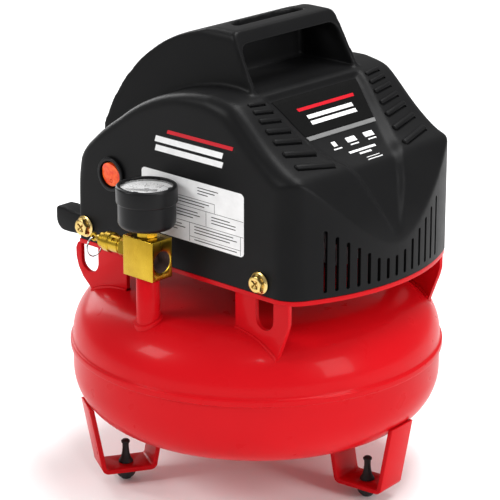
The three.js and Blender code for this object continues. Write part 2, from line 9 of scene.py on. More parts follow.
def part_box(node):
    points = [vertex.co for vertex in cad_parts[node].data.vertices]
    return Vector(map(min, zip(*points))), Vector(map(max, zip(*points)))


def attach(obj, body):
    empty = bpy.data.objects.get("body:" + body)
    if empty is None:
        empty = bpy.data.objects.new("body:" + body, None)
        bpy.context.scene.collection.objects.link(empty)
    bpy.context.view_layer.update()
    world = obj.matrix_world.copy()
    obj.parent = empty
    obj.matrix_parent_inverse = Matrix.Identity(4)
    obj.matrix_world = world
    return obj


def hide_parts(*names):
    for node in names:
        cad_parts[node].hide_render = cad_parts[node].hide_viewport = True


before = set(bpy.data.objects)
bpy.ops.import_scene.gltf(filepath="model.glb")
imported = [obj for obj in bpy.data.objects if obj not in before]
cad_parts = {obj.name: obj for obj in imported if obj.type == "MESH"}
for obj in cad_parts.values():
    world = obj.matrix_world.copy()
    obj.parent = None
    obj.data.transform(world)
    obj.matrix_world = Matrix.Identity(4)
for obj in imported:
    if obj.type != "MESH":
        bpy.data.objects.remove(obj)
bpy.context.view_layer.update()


# ---- Camera, floor and light ----
# The compressor stands on a seamless white studio floor inside a light tent. The camera looks from the
# front right, a little above the shroud, with a long lens.
def aim(thing, target):
    direction = Vector(target) - thing.location
    thing.rotation_euler = direction.to_track_quat("-Z", "Y").to_euler()


view_target = Vector((-0.00316, -0.00296, 0.1529))
view_azimuth = math.radians(43.1)
view_elevation = math.radians(18.85)
view_distance = 1.6317
bpy.ops.object.camera_add()
camera = bpy.context.object
camera.location = view_target + view_distance * Vector((
    math.sin(view_azimuth) * math.cos(view_elevation),
    -math.cos(view_azimuth) * math.cos(view_elevation),
    math.sin(view_elevation),
))
aim(camera, view_target)
camera.data.sensor_width = 36
camera.data.lens = 176.4
camera.data.clip_end = 50
bpy.context.scene.camera = camera

bpy.ops.mesh.primitive_plane_add(size=30)
floor = bpy.context.object
floor.name = "studio_floor"
floor_paint = bpy.data.materials.new("studio_white")
floor_paint.use_nodes = True
floor_shader = floor_paint.node_tree.nodes["Principled BSDF"]
floor_shader.inputs["Base Color"].default_value = (0.93, 0.93, 0.93, 1)
floor_shader.inputs["Roughness"].default_value = 0.9
floor_shader.inputs["Specular IOR Level"].default_value = 0.1
floor.data.materials.append(floor_paint)

tent = bpy.data.worlds.new("light_tent")
bpy.context.scene.world = tent
tent.use_nodes = True
tent.node_tree.nodes["Background"].inputs["Color"].default_value = (1, 1, 1, 1)
tent.node_tree.nodes["Background"].inputs["Strength"].default_value = 0.4
bpy.context.scene.view_settings.view_transform = "Standard"


def soft_light(name, place, size, power):
    bpy.ops.object.light_add(type="AREA", location=place)
    light = bpy.context.object
    light.name = name
    light.data.shape = "RECTANGLE"
    light.data.size, light.data.size_y = size
    light.data.energy = power
    aim(light, (0, 0, 0.15))


soft_light("key_softbox", (-0.9, -1.5, 1.3), (0.6, 0.6), 18.5)
soft_light("top_softbox", (0.2, 0.5, 1.9), (1.2, 0.8), 36)
soft_light("side_softbox", (1.7, 0.1, 0.8), (0.6, 1.0), 17)
soft_light("rim_softbox", (-1.64, 0.44, 0.9), (0.7, 1.4), 15)
soft_light("small_spot", (0.9, -0.87, 1.7), (0.1, 0.1), 2.5)


# ---- Air tank shells ----
# Two pressed steel halves: the upper one's rim is stepped out over the lower one and welded all round.
# Both are 2 mm plate under gloss red enamel, with a slight orange peel from spraying.
def to_edit_mode(piece):
    bpy.ops.object.select_all(action="DESELECT")
    bpy.context.view_layer.objects.active = piece
    piece.select_set(True)
    bpy.ops.object.mode_set(mode="EDIT")


def to_object_mode():
    bpy.ops.object.mode_set(mode="OBJECT")
    return bpy.context.object


def draw_line(name, points):
    """One vertex drawn out along the points, left in edit mode with its last vertex selected."""
    bpy.ops.object.select_all(action="DESELECT")
    bpy.ops.mesh.primitive_plane_add(size=0.001)
    bpy.context.object.name = name
    bpy.ops.object.mode_set(mode="EDIT")
    bpy.ops.mesh.select_all(action="SELECT")
    bpy.ops.mesh.merge(type="CENTER")
    bpy.ops.transform.translate(value=points[0])
    for here, there in zip(points, points[1:]):
        step = Vector(there) - Vector(here)
        bpy.ops.mesh.extrude_region_move(TRANSFORM_OT_translate={"value": step})


def tidy_faces(gap=0.00002):
    bpy.ops.mesh.select_all(action="SELECT")
    bpy.ops.mesh.remove_doubles(threshold=gap)
    bpy.ops.mesh.normals_make_consistent(inside=False)


def spun(name, profile, centre=(0, 0, 0), axis=(0, 0, 1), steps=96):
    """A turned piece. The profile's (radius, height) pairs close on themselves or end on the axis."""
    along = Vector(axis).normalized()
    across = along.orthogonal().normalized()
    draw_line(name, [Vector(centre) + across * r + along * h for r, h in profile])
    bpy.ops.mesh.select_all(action="SELECT")
    bpy.ops.mesh.spin(steps=steps, angle=2 * math.pi, center=centre, axis=along)
    tidy_faces()
    return to_object_mode()


def quarter(cx, cy, radius, start, end, steps=10):
    """Points of a round corner, from one angle to another in degrees."""
    angles = [math.radians(start + (end - start) * i / steps) for i in range(steps + 1)]
    return [(cx + radius * math.cos(a), cy + radius * math.sin(a)) for a in angles]


def apply_modifiers(piece):
    bpy.ops.object.select_all(action="DESELECT")
    bpy.context.view_layer.objects.active = piece
    piece.select_set(True)
    for modifier in list(piece.modifiers):
        bpy.ops.object.modifier_apply(modifier=modifier.name)


def round_edges(piece, width, segments=3, angle=35):
    """Breaks every edge sharper than the angle with a small radius."""
    bevel = piece.modifiers.new("rounded_edges", "BEVEL")
    bevel.width = width
    bevel.segments = segments
    bevel.limit_method = "ANGLE"
    bevel.angle_limit = math.radians(angle)
    bevel.miter_outer = "MITER_ARC"
    apply_modifiers(piece)
    return piece


def smooth_faces(piece, angle=40):
    bpy.ops.object.select_all(action="DESELECT")
    bpy.context.view_layer.objects.active = piece
    piece.select_set(True)
    bpy.ops.object.shade_smooth_by_angle(angle=math.radians(angle))


def new_material(name, base, roughness, metallic=0.0):
    """A principled material; returns it with its shader and node tree ready for detail."""
    material = bpy.data.materials.new(name)
    material.use_nodes = True
    shader = material.node_tree.nodes["Principled BSDF"]
    shader.inputs["Base Color"].default_value = (*base, 1)
    shader.inputs["Roughness"].default_value = roughness
    shader.inputs["Metallic"].default_value = metallic
    return material, shader, material.node_tree


def noise(tree, scale, detail=4.0, stretch=(1, 1, 1)):
    """Noise over the piece's own coordinates, in metres."""
    place = tree.nodes.new("ShaderNodeTexCoord")
    mapping = tree.nodes.new("ShaderNodeMapping")
    mapping.inputs["Scale"].default_value = stretch
    texture = tree.nodes.new("ShaderNodeTexNoise")
    texture.inputs["Scale"].default_value = scale
    texture.inputs["Detail"].default_value = detail
    tree.links.new(place.outputs["Object"], mapping.inputs["Vector"])
    tree.links.new(mapping.outputs["Vector"], texture.inputs["Vector"])
    return texture.outputs["Fac"]


def ramp(tree, value, stops):
    """A colour ramp: stops are (position, colour) pairs."""
    node = tree.nodes.new("ShaderNodeValToRGB")
    tree.links.new(value, node.inputs["Fac"])
    elements = node.color_ramp.elements
    while len(elements) < len(stops):
        elements.new(0.5)
    for element, (position, colour) in zip(elements, stops):
        element.position = position
        element.color = (*colour, 1)
    return node.outputs["Color"]


def spread(tree, value, low, high):
    """Maps a 0 to 1 value onto low to high."""
    node = tree.nodes.new("ShaderNodeMapRange")
    node.inputs["To Min"].default_value = low
    node.inputs["To Max"].default_value = high
    tree.links.new(value, node.inputs["Value"])
    return node.outputs["Result"]


def vary_colour(tree, shader, scale, detail, stops):
    """A colour that wanders between the stops' colours."""
    tree.links.new(ramp(tree, noise(tree, scale, detail), stops), shader.inputs["Base Color"])


def vary_roughness(tree, shader, scale, detail, low, high):
    tree.links.new(spread(tree, noise(tree, scale, detail), low, high), shader.inputs["Roughness"])


def add_bump(tree, shader, height, strength, distance):
    """Bumps stack: a second call adds to the first."""
    bump = tree.nodes.new("ShaderNodeBump")
    bump.inputs["Strength"].default_value = strength
    bump.inputs["Distance"].default_value = distance
    tree.links.new(height, bump.inputs["Height"])
    socket = shader.inputs["Normal"]
    if socket.links:
        tree.links.new(socket.links[0].from_socket, bump.inputs["Normal"])
    tree.links.new(bump.outputs["Normal"], socket)


def wear(material, piece):
    """Puts the material on a piece in place of whatever it had."""
    piece.data.materials.clear()
    piece.data.materials.append(material)


def mount(piece, body, slot, material, *nodes):
    """Everything a finished piece needs: material, body, and the CAD nodes it stands for. The slot argument
    is not used.
    """
    wear(material, piece)
    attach(piece, body)
    if nodes:
        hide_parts(*nodes)
    return piece


def red_enamel():
    material, shader, tree = new_material("red_enamel", (0.53, 0.005, 0.009), 0.3)
    vary_colour(tree, shader, 9, 2, [(0.3, (0.48, 0.0035, 0.007)), (0.7, (0.55, 0.0055, 0.0095))])
    vary_roughness(tree, shader, 60, 3, 0.24, 0.34)
    shader.inputs["Specular IOR Level"].default_value = 0.05
    shader.inputs["Coat Weight"].default_value = 0.06
    shader.inputs["Coat Roughness"].default_value = 0.04
    add_bump(tree, shader, noise(tree, 420, 2), 0.06, 0.0004)
    return material


red_paint = red_enamel()
tank_low, tank_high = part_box("tank_lower_shell")[0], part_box("tank_upper_shell")[1]
seam_radius = tank_high.x
shell_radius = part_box("tank_lower_shell")[1].x
plate = 0.002
seam_low, seam_high = 0.0910, 0.0960
lower_bend, upper_bend = 0.034, 0.035


def lower_shell():
    middle = (shell_radius - lower_bend, tank_low.z + lower_bend)
    rim = seam_low + 0.0025
    profile = [(0.0083, tank_low.z), (0.03, tank_low.z), (0.06, tank_low.z)]
    profile += quarter(*middle, lower_bend, -90, 0, 20)
    profile += [(shell_radius, rim), (shell_radius - plate, rim)]
    profile += quarter(*middle, lower_bend - plate, 0, -90, 12)
    profile += [(0.0083, tank_low.z + plate), (0.0083, tank_low.z)]
    return spun("tank_lower", profile, steps=128)


def upper_shell():
    middle = (shell_radius - upper_bend, tank_high.z - upper_bend)
    step = seam_radius - shell_radius
    profile = [(0, tank_high.z), (0.03, tank_high.z), (0.06, tank_high.z)]
    profile += quarter(*middle, upper_bend, 90, 0, 20)
    profile += [(shell_radius, seam_high + 0.0012)]
    profile += quarter(shell_radius + step, seam_high + 0.0012, step, 180, 235, 4)
    profile += quarter(seam_radius - step, seam_high - step, step, 50, 0, 4)
    profile += quarter(seam_radius - 0.0006, seam_low + 0.0006, 0.0006, 0, -90, 4)
    profile += [(shell_radius + 0.0003, seam_low), (shell_radius + 0.0003, seam_low + 0.0031)]
    profile += [(shell_radius - plate, seam_low + 0.0034)]
    profile += quarter(*middle, upper_bend - plate, 0, 90, 12)
    profile += [(0, tank_high.z - plate)]
    return spun("tank_upper", profile, steps=128)


def seam_weld():
    """A small fillet of weld metal under the upper shell's rim."""
    reach = seam_radius - shell_radius - 0.0004
    profile = [(shell_radius - 0.0004, seam_low - reach), (shell_radius - 0.0004, seam_low + 0.0002)]
    profile += quarter(shell_radius + reach, seam_low - reach, reach, 90, 180, 6)
    return spun("tank_seam_weld", profile + profile[:1], steps=128)


for shell, node in ((lower_shell(), "tank_lower_shell"), (upper_shell(), "tank_upper_shell")):
    smooth_faces(shell, 50)
    mount(shell, "compressor", "red_paint", red_paint, node)
weld = seam_weld()
smooth_faces(weld, 60)
mount(weld, "compressor", "red_paint", red_paint)


# ---- Strap feet and their rubber buffers ----
# Each foot is one strip of 3 mm steel bent to a U and welded under the tank. A moulded rubber buffer is
# pulled up through a hole in the strip until its neck snaps in.
def prism(name, points, along):
    """An outline filled and drawn out to a solid."""
    draw_line(name, points)
    bpy.ops.mesh.select_all(action="SELECT")
    bpy.ops.mesh.edge_face_add()
    bpy.ops.mesh.extrude_region_move(TRANSFORM_OT_translate={"value": along})
    tidy_faces()
    return to_object_mode()


def combine(piece, tool, operation):
    """Joins, cuts or crosses a piece with a tool, which is used up."""
    boolean = piece.modifiers.new("combine", "BOOLEAN")
    boolean.operation = operation
    boolean.solver = "EXACT"
    boolean.object = tool
    apply_modifiers(piece)
    bpy.data.objects.remove(tool)
    return piece


def turn_about_z(piece, degrees):
    piece.data.transform(Matrix.Rotation(math.radians(degrees), 4, "Z"))
    return piece


def rod_line(radius, low, high):
    """The outline that spins to a plain rod."""
    return [(0, low), (radius, low), (radius, high), (0, high)]


def copy_of(piece, name):
    twin = piece.copy()
    twin.data = piece.data.copy()
    twin.name = name
    bpy.context.scene.collection.objects.link(twin)
    return twin


foot_radius = 0.092
foot_angles = (6, 123, 240)


def strap_foot():
    inner, thick, flare, bottom, bend = 0.016, 0.0032, 0.0080, 0.0085, 0.005
    outer = inner + thick
    top, width = 0.057, 0.024
    section = [(-outer - flare, top)]
    section += quarter(-outer + bend, bottom + bend, bend, 180, 270, 8)
    section += quarter(outer - bend, bottom + bend, bend, 270, 360, 8)
    section += [(outer + flare, top), (inner + flare, top)]
    section += quarter(inner - 0.002, bottom + thick + 0.002, 0.002, 0, -90, 5)
    section += quarter(-inner + 0.002, bottom + thick + 0.002, 0.002, 270, 180, 5)
    section += [(-inner - flare, top)]
    strap = prism("strap", [(foot_radius + x, -width / 2, z) for x, z in section], (0, width, 0))
    hole = spun("strap_hole", rod_line(0.0043, 0, 0.02), (foot_radius, 0, 0), steps=32)
    combine(strap, hole, "DIFFERENCE")
    inside_tank = [(0, tank_low.z - 0.0001)]
    middle = (shell_radius - lower_bend, tank_low.z + lower_bend)
    inside_tank += quarter(*middle, lower_bend + 0.0001, -90, 0, 20)
    inside_tank += [(shell_radius, 0.09), (0, 0.09)]
    combine(strap, spun("tank_form", inside_tank, steps=128), "DIFFERENCE")
    return round_edges(strap, 0.0006, 3, 50)


def rubber_buffer():
    profile = [(0, 0), (0.0032, 0)]
    profile += quarter(0.0008, 0.006, 0.006, -60, 0, 8)
    profile += [(0.0068, 0.0076), (0.0064, 0.0082), (0.0039, 0.0084), (0.0039, 0.0118), (0.0050, 0.0120)]
    profile += [(0.0048, 0.0128), (0.0034, 0.0150), (0.0026, 0.0180), (0.0022, 0.0215), (0.0022, 0.0250)]
    profile += [(0.0029, 0.0258), (0.0030, 0.0268), (0.0020, 0.0278), (0, 0.0280)]
    return spun("buffer", profile, (foot_radius, 0, 0), steps=40)


def black_rubber():
    material, shader, tree = new_material("black_rubber", (0.012, 0.012, 0.013), 0.7)
    vary_roughness(tree, shader, 300, 4, 0.6, 0.85)
    add_bump(tree, shader, noise(tree, 1500, 3), 0.3, 0.0002)
    return material


rubber = black_rubber()
first_strap, first_buffer = strap_foot(), rubber_buffer()
for i, angle in enumerate(foot_angles, start=1):
    strap = turn_about_z(copy_of(first_strap, f"strap_foot_{i}"), angle)
    smooth_faces(strap, 40)
    mount(strap, "compressor", "red_paint", red_paint, f"foot_bracket_{i}")
    buffer = turn_about_z(copy_of(first_buffer, f"rubber_buffer_{i}"), angle)
    smooth_faces(buffer, 50)
    mount(buffer, "compressor", "rubber", rubber, f"rubber_foot_{i}")
bpy.data.objects.remove(first_strap)
bpy.data.objects.remove(first_buffer)


# ---- Drain under the tank ----
# A threaded bung welded into the lower shell, painted with it, and a brass drain cock with a T handle.
def metal(name, dark, light, roughness, grain=220, metallic=1.0):
    """Bare or plated metal: a little uneven in colour, finely scratched and softly dull in places."""
    material, shader, tree = new_material(name, light, roughness, metallic)
    vary_colour(tree, shader, 70, 4, [(0.32, dark), (0.68, light)])
    dull = spread(tree, noise(tree, grain, 4, (1, 1, 0.25)), roughness - 0.08, roughness + 0.1)
    tree.links.new(dull, shader.inputs["Roughness"])
    add_bump(tree, shader, noise(tree, grain * 5, 2), 0.12, 0.00015)
    return material


def finish_nodes(material, *names):
    """Gives frame nodes whose shape is already right their material."""
    for name in names:
        wear(material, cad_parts[name])


brass = metal("brass", (0.40, 0.25, 0.020), (0.50, 0.33, 0.032), 0.27)
finish_nodes(red_paint, "drain_bung")
finish_nodes(brass, "drain_cock_body", "drain_cock_stem")


# ---- Carrier plate and its four legs ----
# A 3 mm steel plate cut to the shroud's plan. Four slotted legs and four screw tabs are folded from it; the
# legs are welded to the tank and the whole is sprayed red with it.
shroud_low, shroud_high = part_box("shroud")
rear_x, side_y = shroud_low.x, shroud_high.y
skirt_z, grip_top = shroud_low.z, shroud_high.z
front_arc = 0.144
front_centre = shroud_high.x - front_arc
corner_turn = 28.4
plate_low, plate_high = 0.1575, 0.1605


def plan_outline(inset):
    """The shroud's outline seen from above: square at the rear, round corners and a wide arc in front."""
    edge = side_y - inset
    corner_x, corner_y, corner = 0.08707, 0.059, 0.020 - inset
    points = [(rear_x + inset, -edge)]
    points += quarter(corner_x, -corner_y, corner, -90, -corner_turn, 8)
    points += quarter(front_centre, 0, front_arc - inset, -corner_turn, corner_turn, 24)[1:-1]
    points += quarter(corner_x, corner_y, corner, corner_turn, 90, 8)
    return points + [(rear_x + inset, edge)]


def tank_form(grow):
    """The outside of the tank's upper half as a solid, to cut the legs and welds to its curve."""
    bend = upper_bend + grow
    profile = [(0, tank_high.z + grow)]
    profile += quarter(shell_radius - upper_bend, tank_high.z - upper_bend, bend, 90, 0, 20)
    return spun("tank_form", profile + [(shell_radius + grow, 0.09), (0, 0.09)], steps=128)


def box_between(name, low, high):
    """A block between two corners."""
    bpy.ops.object.select_all(action="DESELECT")
    bpy.ops.mesh.primitive_cube_add(size=1, location=[(a + b) / 2 for a, b in zip(low, high)])
    block = bpy.context.object
    block.name = name
    block.scale = [b - a for a, b in zip(low, high)]
    bpy.ops.object.transform_apply(location=True, rotation=False, scale=True)
    return block


def joined(name, pieces):
    """Several meshes as one piece."""
    bpy.ops.object.select_all(action="DESELECT")
    for piece in pieces:
        piece.select_set(True)
    bpy.context.view_layer.objects.active = pieces[0]
    if len(pieces) > 1:
        bpy.ops.object.join()
    pieces[0].name = name
    return pieces[0]


leg_y, leg_thick, slot_top = 0.076, 0.003, 0.1565
front_leg = [(0.0525, 0.1585), (0.0525, 0.110), (0.084, 0.110), (0.0869, 0.116), (0.0922, 0.1295),
             (0.0962, 0.1395), (0.0977, 0.1450), (0.0977, 0.1585)]
rear_leg = [(-0.0880, 0.1585), (-0.0925, 0.1560), (-0.0943, 0.1520), (-0.0941, 0.1460), (-0.0922, 0.1395),
            (-0.0880, 0.1330), (-0.0810, 0.1270), (-0.0760, 0.116), (-0.0760, 0.110), (-0.0460, 0.110),
            (-0.0460, 0.1585)]


def slot_outline(x, half, low, high):
    return [(x - half, high), *quarter(x, low + half, half, 180, 360, 16), (x + half, high)]


def carrier():
    plate = prism("carrier_plate", [(x, y, plate_low) for x, y in plan_outline(0.0004)], (0, 0, 0.003))
    front_slot = slot_outline(0.0775, 0.0076, 0.1366, slot_top)
    rear_slot = slot_outline(-0.0810, 0.0081, 0.1376, slot_top)
    for side in (-1, 1):
        outer, inner = side * leg_y, side * (leg_y - leg_thick)
        for leg, slot in ((front_leg, front_slot), (rear_leg, rear_slot)):
            strip = prism("leg", [(x, inner, z) for x, z in leg], (0, outer - inner, 0))
            hole = prism("slot", [(x, inner - side * 0.002, z) for x, z in slot], (0, side * 0.007, 0))
            combine(plate, combine(strip, hole, "DIFFERENCE"), "UNION")
        for node, width in (("screw_rear_left", 0.015), ("screw_front_left", 0.021)):
            low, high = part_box(node)
            screw_x, screw_z = (low.x + high.x) / 2, (low.z + high.z) / 2
            start = screw_x - 0.003 if screw_x < 0 else screw_x - 0.012
            near, far = sorted((side * 0.073, side * 0.0755))
            tab = box_between("tab", (start, near, plate_high - 0.001), (start + width, far, 0.180))
            profile = rod_line(0.0026, 0.06, 0.09)
            hole = spun("hole", profile, (screw_x, 0, screw_z), (0, side, 0), 24)
            combine(plate, combine(tab, hole, "DIFFERENCE"), "UNION")
    tube_low, tube_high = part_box("check_valve")
    tube = (tube_low + tube_high) / 2
    profile = rod_line(0.0095, 0.15, 0.17)
    combine(plate, spun("tube_hole", profile, (tube.x, tube.y, 0), steps=32), "DIFFERENCE")
    combine(plate, tank_form(0.0001), "DIFFERENCE")
    return round_edges(plate, 0.0007, 3, 50)


def leg_weld(low, high, side):
    """A bead of weld where a leg's foot meets the tank."""
    grow, rise = 0.0010, 0.0013
    near, far = sorted((side * (leg_y - leg_thick - grow), side * (leg_y + grow)))
    bead = box_between("bead", (low, near, 0.10), (high, far, 0.15))
    combine(bead, tank_form(rise), "INTERSECT")
    combine(bead, tank_form(-0.0005), "DIFFERENCE")
    return round_edges(bead, 0.0008, 4, 40)


carrier_plate = carrier()
smooth_faces(carrier_plate, 40)
mount(carrier_plate, "compressor", "red_paint", red_paint, "base_plate")
weld_runs = ((0.0525, 0.0880), (-0.0800, -0.0460))
welds = joined("leg_welds", [leg_weld(low, high, side) for low, high in weld_runs for side in (-1, 1)])
smooth_faces(welds, 60)
mount(welds, "compressor", "red_paint", red_paint)


# ---- Riser pipe ----
# A short steel pipe that carries the manifold. Its foot is welded to the tank all round.
block_low, block_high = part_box("manifold_block")
block_middle = (block_low + block_high) / 2
riser_place = (block_middle.x, block_middle.y, 0)
riser_profile = [(0.004, 0.118), (0.0076, 0.118), (0.0076, 0.1596), (0.0072, 0.1603), (0.0050, 0.1605),
                 (0.004, 0.1601), (0.004, 0.118)]
riser = spun("riser_tube", riser_profile, riser_place, steps=64)
riser_bead = spun("riser_bead", rod_line(0.0093, 0.118, 0.145), riser_place, steps=64)
round_edges(combine(riser_bead, tank_form(0.0022), "INTERSECT"), 0.0011, 4, 40)
bead_bore = spun("bead_bore", rod_line(0.0060, 0.110, 0.150), riser_place, steps=64)
combine(riser_bead, bead_bore, "DIFFERENCE")
combine(riser, riser_bead, "UNION")
combine(riser, tank_form(0.0001), "DIFFERENCE")
smooth_faces(riser, 50)
mount(riser, "compressor", "red_paint", red_paint, "riser_pipe")


# ---- Manifold block ----
# A sawn and milled brass block, threaded on the riser. The gauge screws in on top, the safety valve at the
# rear, and a hose fitting in the open port at the front.
def round_bore(radius, start, depth, place, axis, flare=0.0004):
    """A drill's shape: a bore with a small chamfer at its mouth."""
    profile = [(0, start - depth), (radius, start - depth), (radius, start - flare)]
    profile += [(radius + flare, start), (radius + flare, start + 0.002), (0, start + 0.002)]
    return spun("bore", profile, place, axis, 48)


def threaded_bore(radius, start, depth, place, axis):
    """A bore with the ridges of a pipe thread."""
    pitch, ridge = 0.0014, 0.0005
    profile = [(0, start + 0.002), (radius + 0.0006, start + 0.002), (radius + 0.0006, start)]
    turns = int(depth / pitch)
    for i in range(turns):
        level = start - i * pitch
        profile += [(radius, level - 0.25 * pitch), (radius - ridge, level - 0.6 * pitch)]
        profile += [(radius, level - pitch)]
    return spun("threaded_bore", profile + [(0, start - turns * pitch)], place, axis, 48)


port_z, valve_z = 0.1726, 0.1755


def manifold():
    block = box_between("manifold", block_low, block_high)
    round_edges(block, 0.0005, 3, 40)
    front_port = (0, block_middle.y, port_z)
    combine(block, threaded_bore(0.0072, block_high.x, 0.010, front_port, (1, 0, 0)), "DIFFERENCE")
    valve_port = (0, block_middle.y, valve_z)
    combine(block, round_bore(0.0046, -block_low.x, 0.008, valve_port, (-1, 0, 0)), "DIFFERENCE")
    stem_port = (block_middle.x, block_middle.y, 0)
    combine(block, round_bore(0.0054, block_high.z, 0.009, stem_port, (0, 0, 1)), "DIFFERENCE")
    return block


# The front port's threaded bore gets a near-black material: painted shade standing in for the shadow deep
# inside the open port.
port_painted_shade, port_shade_shader, port_shade_tree = new_material("thread_painted_shade", (0.055, 0.022, 0.020), 0.55, 0.4)
vary_colour(port_shade_tree, port_shade_shader, 260, 3, [(0.3, (0.035, 0.014, 0.014)), (0.7, (0.075, 0.032, 0.024))])
block = manifold()
smooth_faces(block, 40)
mount(block, "compressor", "brass", brass, "manifold_block")
# Faces inside the front port's bore take the painted shade material.
block.data.materials.append(port_painted_shade)
for face in block.data.polygons:
    out_y, out_z = face.center.y - block_middle.y, face.center.z - port_z
    if math.hypot(out_y, out_z) < 0.0077 and 0.0 < face.center.x < block_high.x - 0.0002:
        face.material_index = 1


# ---- Pressure gauge ----
# A 40 mm back-entry gauge lying face up on a brass stem: black pressed case, snap-on bezel with four
# clips, a grey printed dial, a blackened pointer and a flat clear lens.
gauge_bottom, gauge_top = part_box("gauge_case")[0].z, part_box("gauge_bezel")[1].z
case_radius, bezel_radius = 0.0186, 0.0197
dial_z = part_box("gauge_dial")[1].z
gauge_place = (block_middle.x, block_middle.y, 0)


def hexagon_bar(name, across_flats, low, high, centre, axis):
    """A length of hexagon bar with its corners turned off at both ends."""
    corner = across_flats / math.sqrt(3)
    turned = 0.0008
    along = Vector(axis).normalized()
    across = along.orthogonal().normalized()
    other = along.cross(across)
    outline = []
    for i in range(6):
        turn = math.radians(60 * i + 30)
        spoke = math.cos(turn) * across + math.sin(turn) * other
        outline.append(Vector(centre) + along * low + corner * spoke)
    bar = prism(name, outline, along * (high - low))
    profile = [(0, low), (corner - turned, low), (corner + 0.0001, low + turned * 0.7),
               (corner + 0.0001, high - turned * 0.7), (corner - turned, high), (0, high)]
    return combine(bar, spun("turning", profile, centre, axis, 48), "INTERSECT")


stem_low, stem_high = block_high.z + 0.0003, gauge_bottom - 0.0003
stem = hexagon_bar("gauge_hexagon", 0.0124, stem_low, stem_high, gauge_place, (0, 0, 1))
shank = spun("shank", rod_line(0.0049, 0.1793, 0.1890), gauge_place, steps=48)
combine(stem, shank, "UNION")
smooth_faces(stem, 35)
mount(stem, "compressor", "brass", brass, "gauge_stem")


def gloss_black(name, roughness):
    material, shader, tree = new_material(name, (0.006, 0.006, 0.0065), roughness)
    vary_roughness(tree, shader, 160, 3, roughness - 0.05, roughness + 0.1)
    shader.inputs["Specular IOR Level"].default_value = 0.15
    add_bump(tree, shader, noise(tree, 700, 2), 0.08, 0.0002)
    return material


gauge_black = gloss_black("gauge_black", 0.3)
case_profile = [(0.0014, gauge_bottom), (case_radius - 0.0045, gauge_bottom)]
case_profile += quarter(case_radius - 0.0045, gauge_bottom + 0.0045, 0.0045, -90, 0, 8)[1:]
case_profile += [(case_radius, gauge_bottom + 0.0120), (case_radius, gauge_top - 0.0022)]
case_profile += [(case_radius - 0.0012, gauge_top - 0.0022), (case_radius - 0.0012, gauge_bottom + 0.0045)]
case_profile += [(case_radius - 0.0046, gauge_bottom + 0.0016), (0.0014, gauge_bottom + 0.0016)]
gauge_case = spun("gauge_cup", case_profile + case_profile[:1], gauge_place, steps=96)
smooth_faces(gauge_case, 40)
mount(gauge_case, "compressor", "black_plastic", gauge_black, "gauge_case")


def gauge_rim():
    """The bezel: a drawn ring rolled over the lens, with four clips pressed in around its edge."""
    lip = gauge_top - 0.011
    profile = [(case_radius + 0.0003, lip + 0.0002), (bezel_radius - 0.0004, lip)]
    profile += [(bezel_radius - 0.0001, lip + 0.0003), (bezel_radius, lip + 0.0010)]
    profile += [(bezel_radius, gauge_top - 0.0014)]
    profile += quarter(bezel_radius - 0.0014, gauge_top - 0.0014, 0.0014, 0, 90, 6)[1:]
    profile += quarter(case_radius - 0.0014, gauge_top - 0.0006, 0.0006, 90, 180, 4)
    profile += [(case_radius - 0.0020, gauge_top - 0.0012), (case_radius + 0.0003, gauge_top - 0.0016)]
    rim = spun("gauge_rim", profile + profile[:1], gauge_place, steps=96)
    for angle in (-160, -70, 20, 110):
        clip_low, clip_high = gauge_top - 0.0012, gauge_top - 0.0001
        clip = box_between("clip", (0.0153, -0.0017, clip_low), (0.0181, 0.0017, clip_high))
        round_edges(clip, 0.0004, 2, 40)
        clip.data.transform(Matrix.Rotation(math.radians(angle), 4, "Z"))
        clip.data.transform(Matrix.Translation(gauge_place))
        combine(rim, clip, "UNION")
    return rim


rim = gauge_rim()
smooth_faces(rim, 40)
mount(rim, "compressor", "black_plastic", gauge_black, "gauge_bezel")

dial_grey, dial_shader, dial_tree = new_material("printed_dial", (0.66, 0.66, 0.66), 0.35)
vary_colour(dial_tree, dial_shader, 300, 2, [(0.3, (0.62, 0.62, 0.62)), (0.7, (0.70, 0.70, 0.70))])
add_bump(dial_tree, dial_shader, noise(dial_tree, 2500, 2), 0.05, 0.0001)
dial_profile = [(0.0013, dial_z - 0.0007), (0.0170, dial_z - 0.0007), (0.0171, dial_z - 0.0005),
                (0.0171, dial_z + 0.0014), (0.0167, dial_z + 0.0014), (0.0166, dial_z + 0.0004),
                (0.0162, dial_z), (0.0013, dial_z), (0.0013, dial_z - 0.0007)]
dial = spun("dial_plate", dial_profile, gauge_place, steps=72)
smooth_faces(dial, 40)
mount(dial, "compressor", "dial", dial_grey, "gauge_dial")

ink, ink_shader, ink_tree = new_material("printing_ink", (0.02, 0.02, 0.02), 0.5)
vary_roughness(ink_tree, ink_shader, 500, 2, 0.45, 0.6)


def dial_place(piece, radius, angle):
    """Moves a mark drawn at the origin out to its place on the scale; 0 degrees is its start."""
    turn = math.radians(-135 - angle)
    piece.data.transform(Matrix.Rotation(turn, 4, "Z"))
    offset = Vector((math.cos(turn), math.sin(turn), 0)) * radius
    piece.data.transform(Matrix.Translation(Vector(gauge_place) + offset + Vector((0, 0, dial_z))))
    return piece


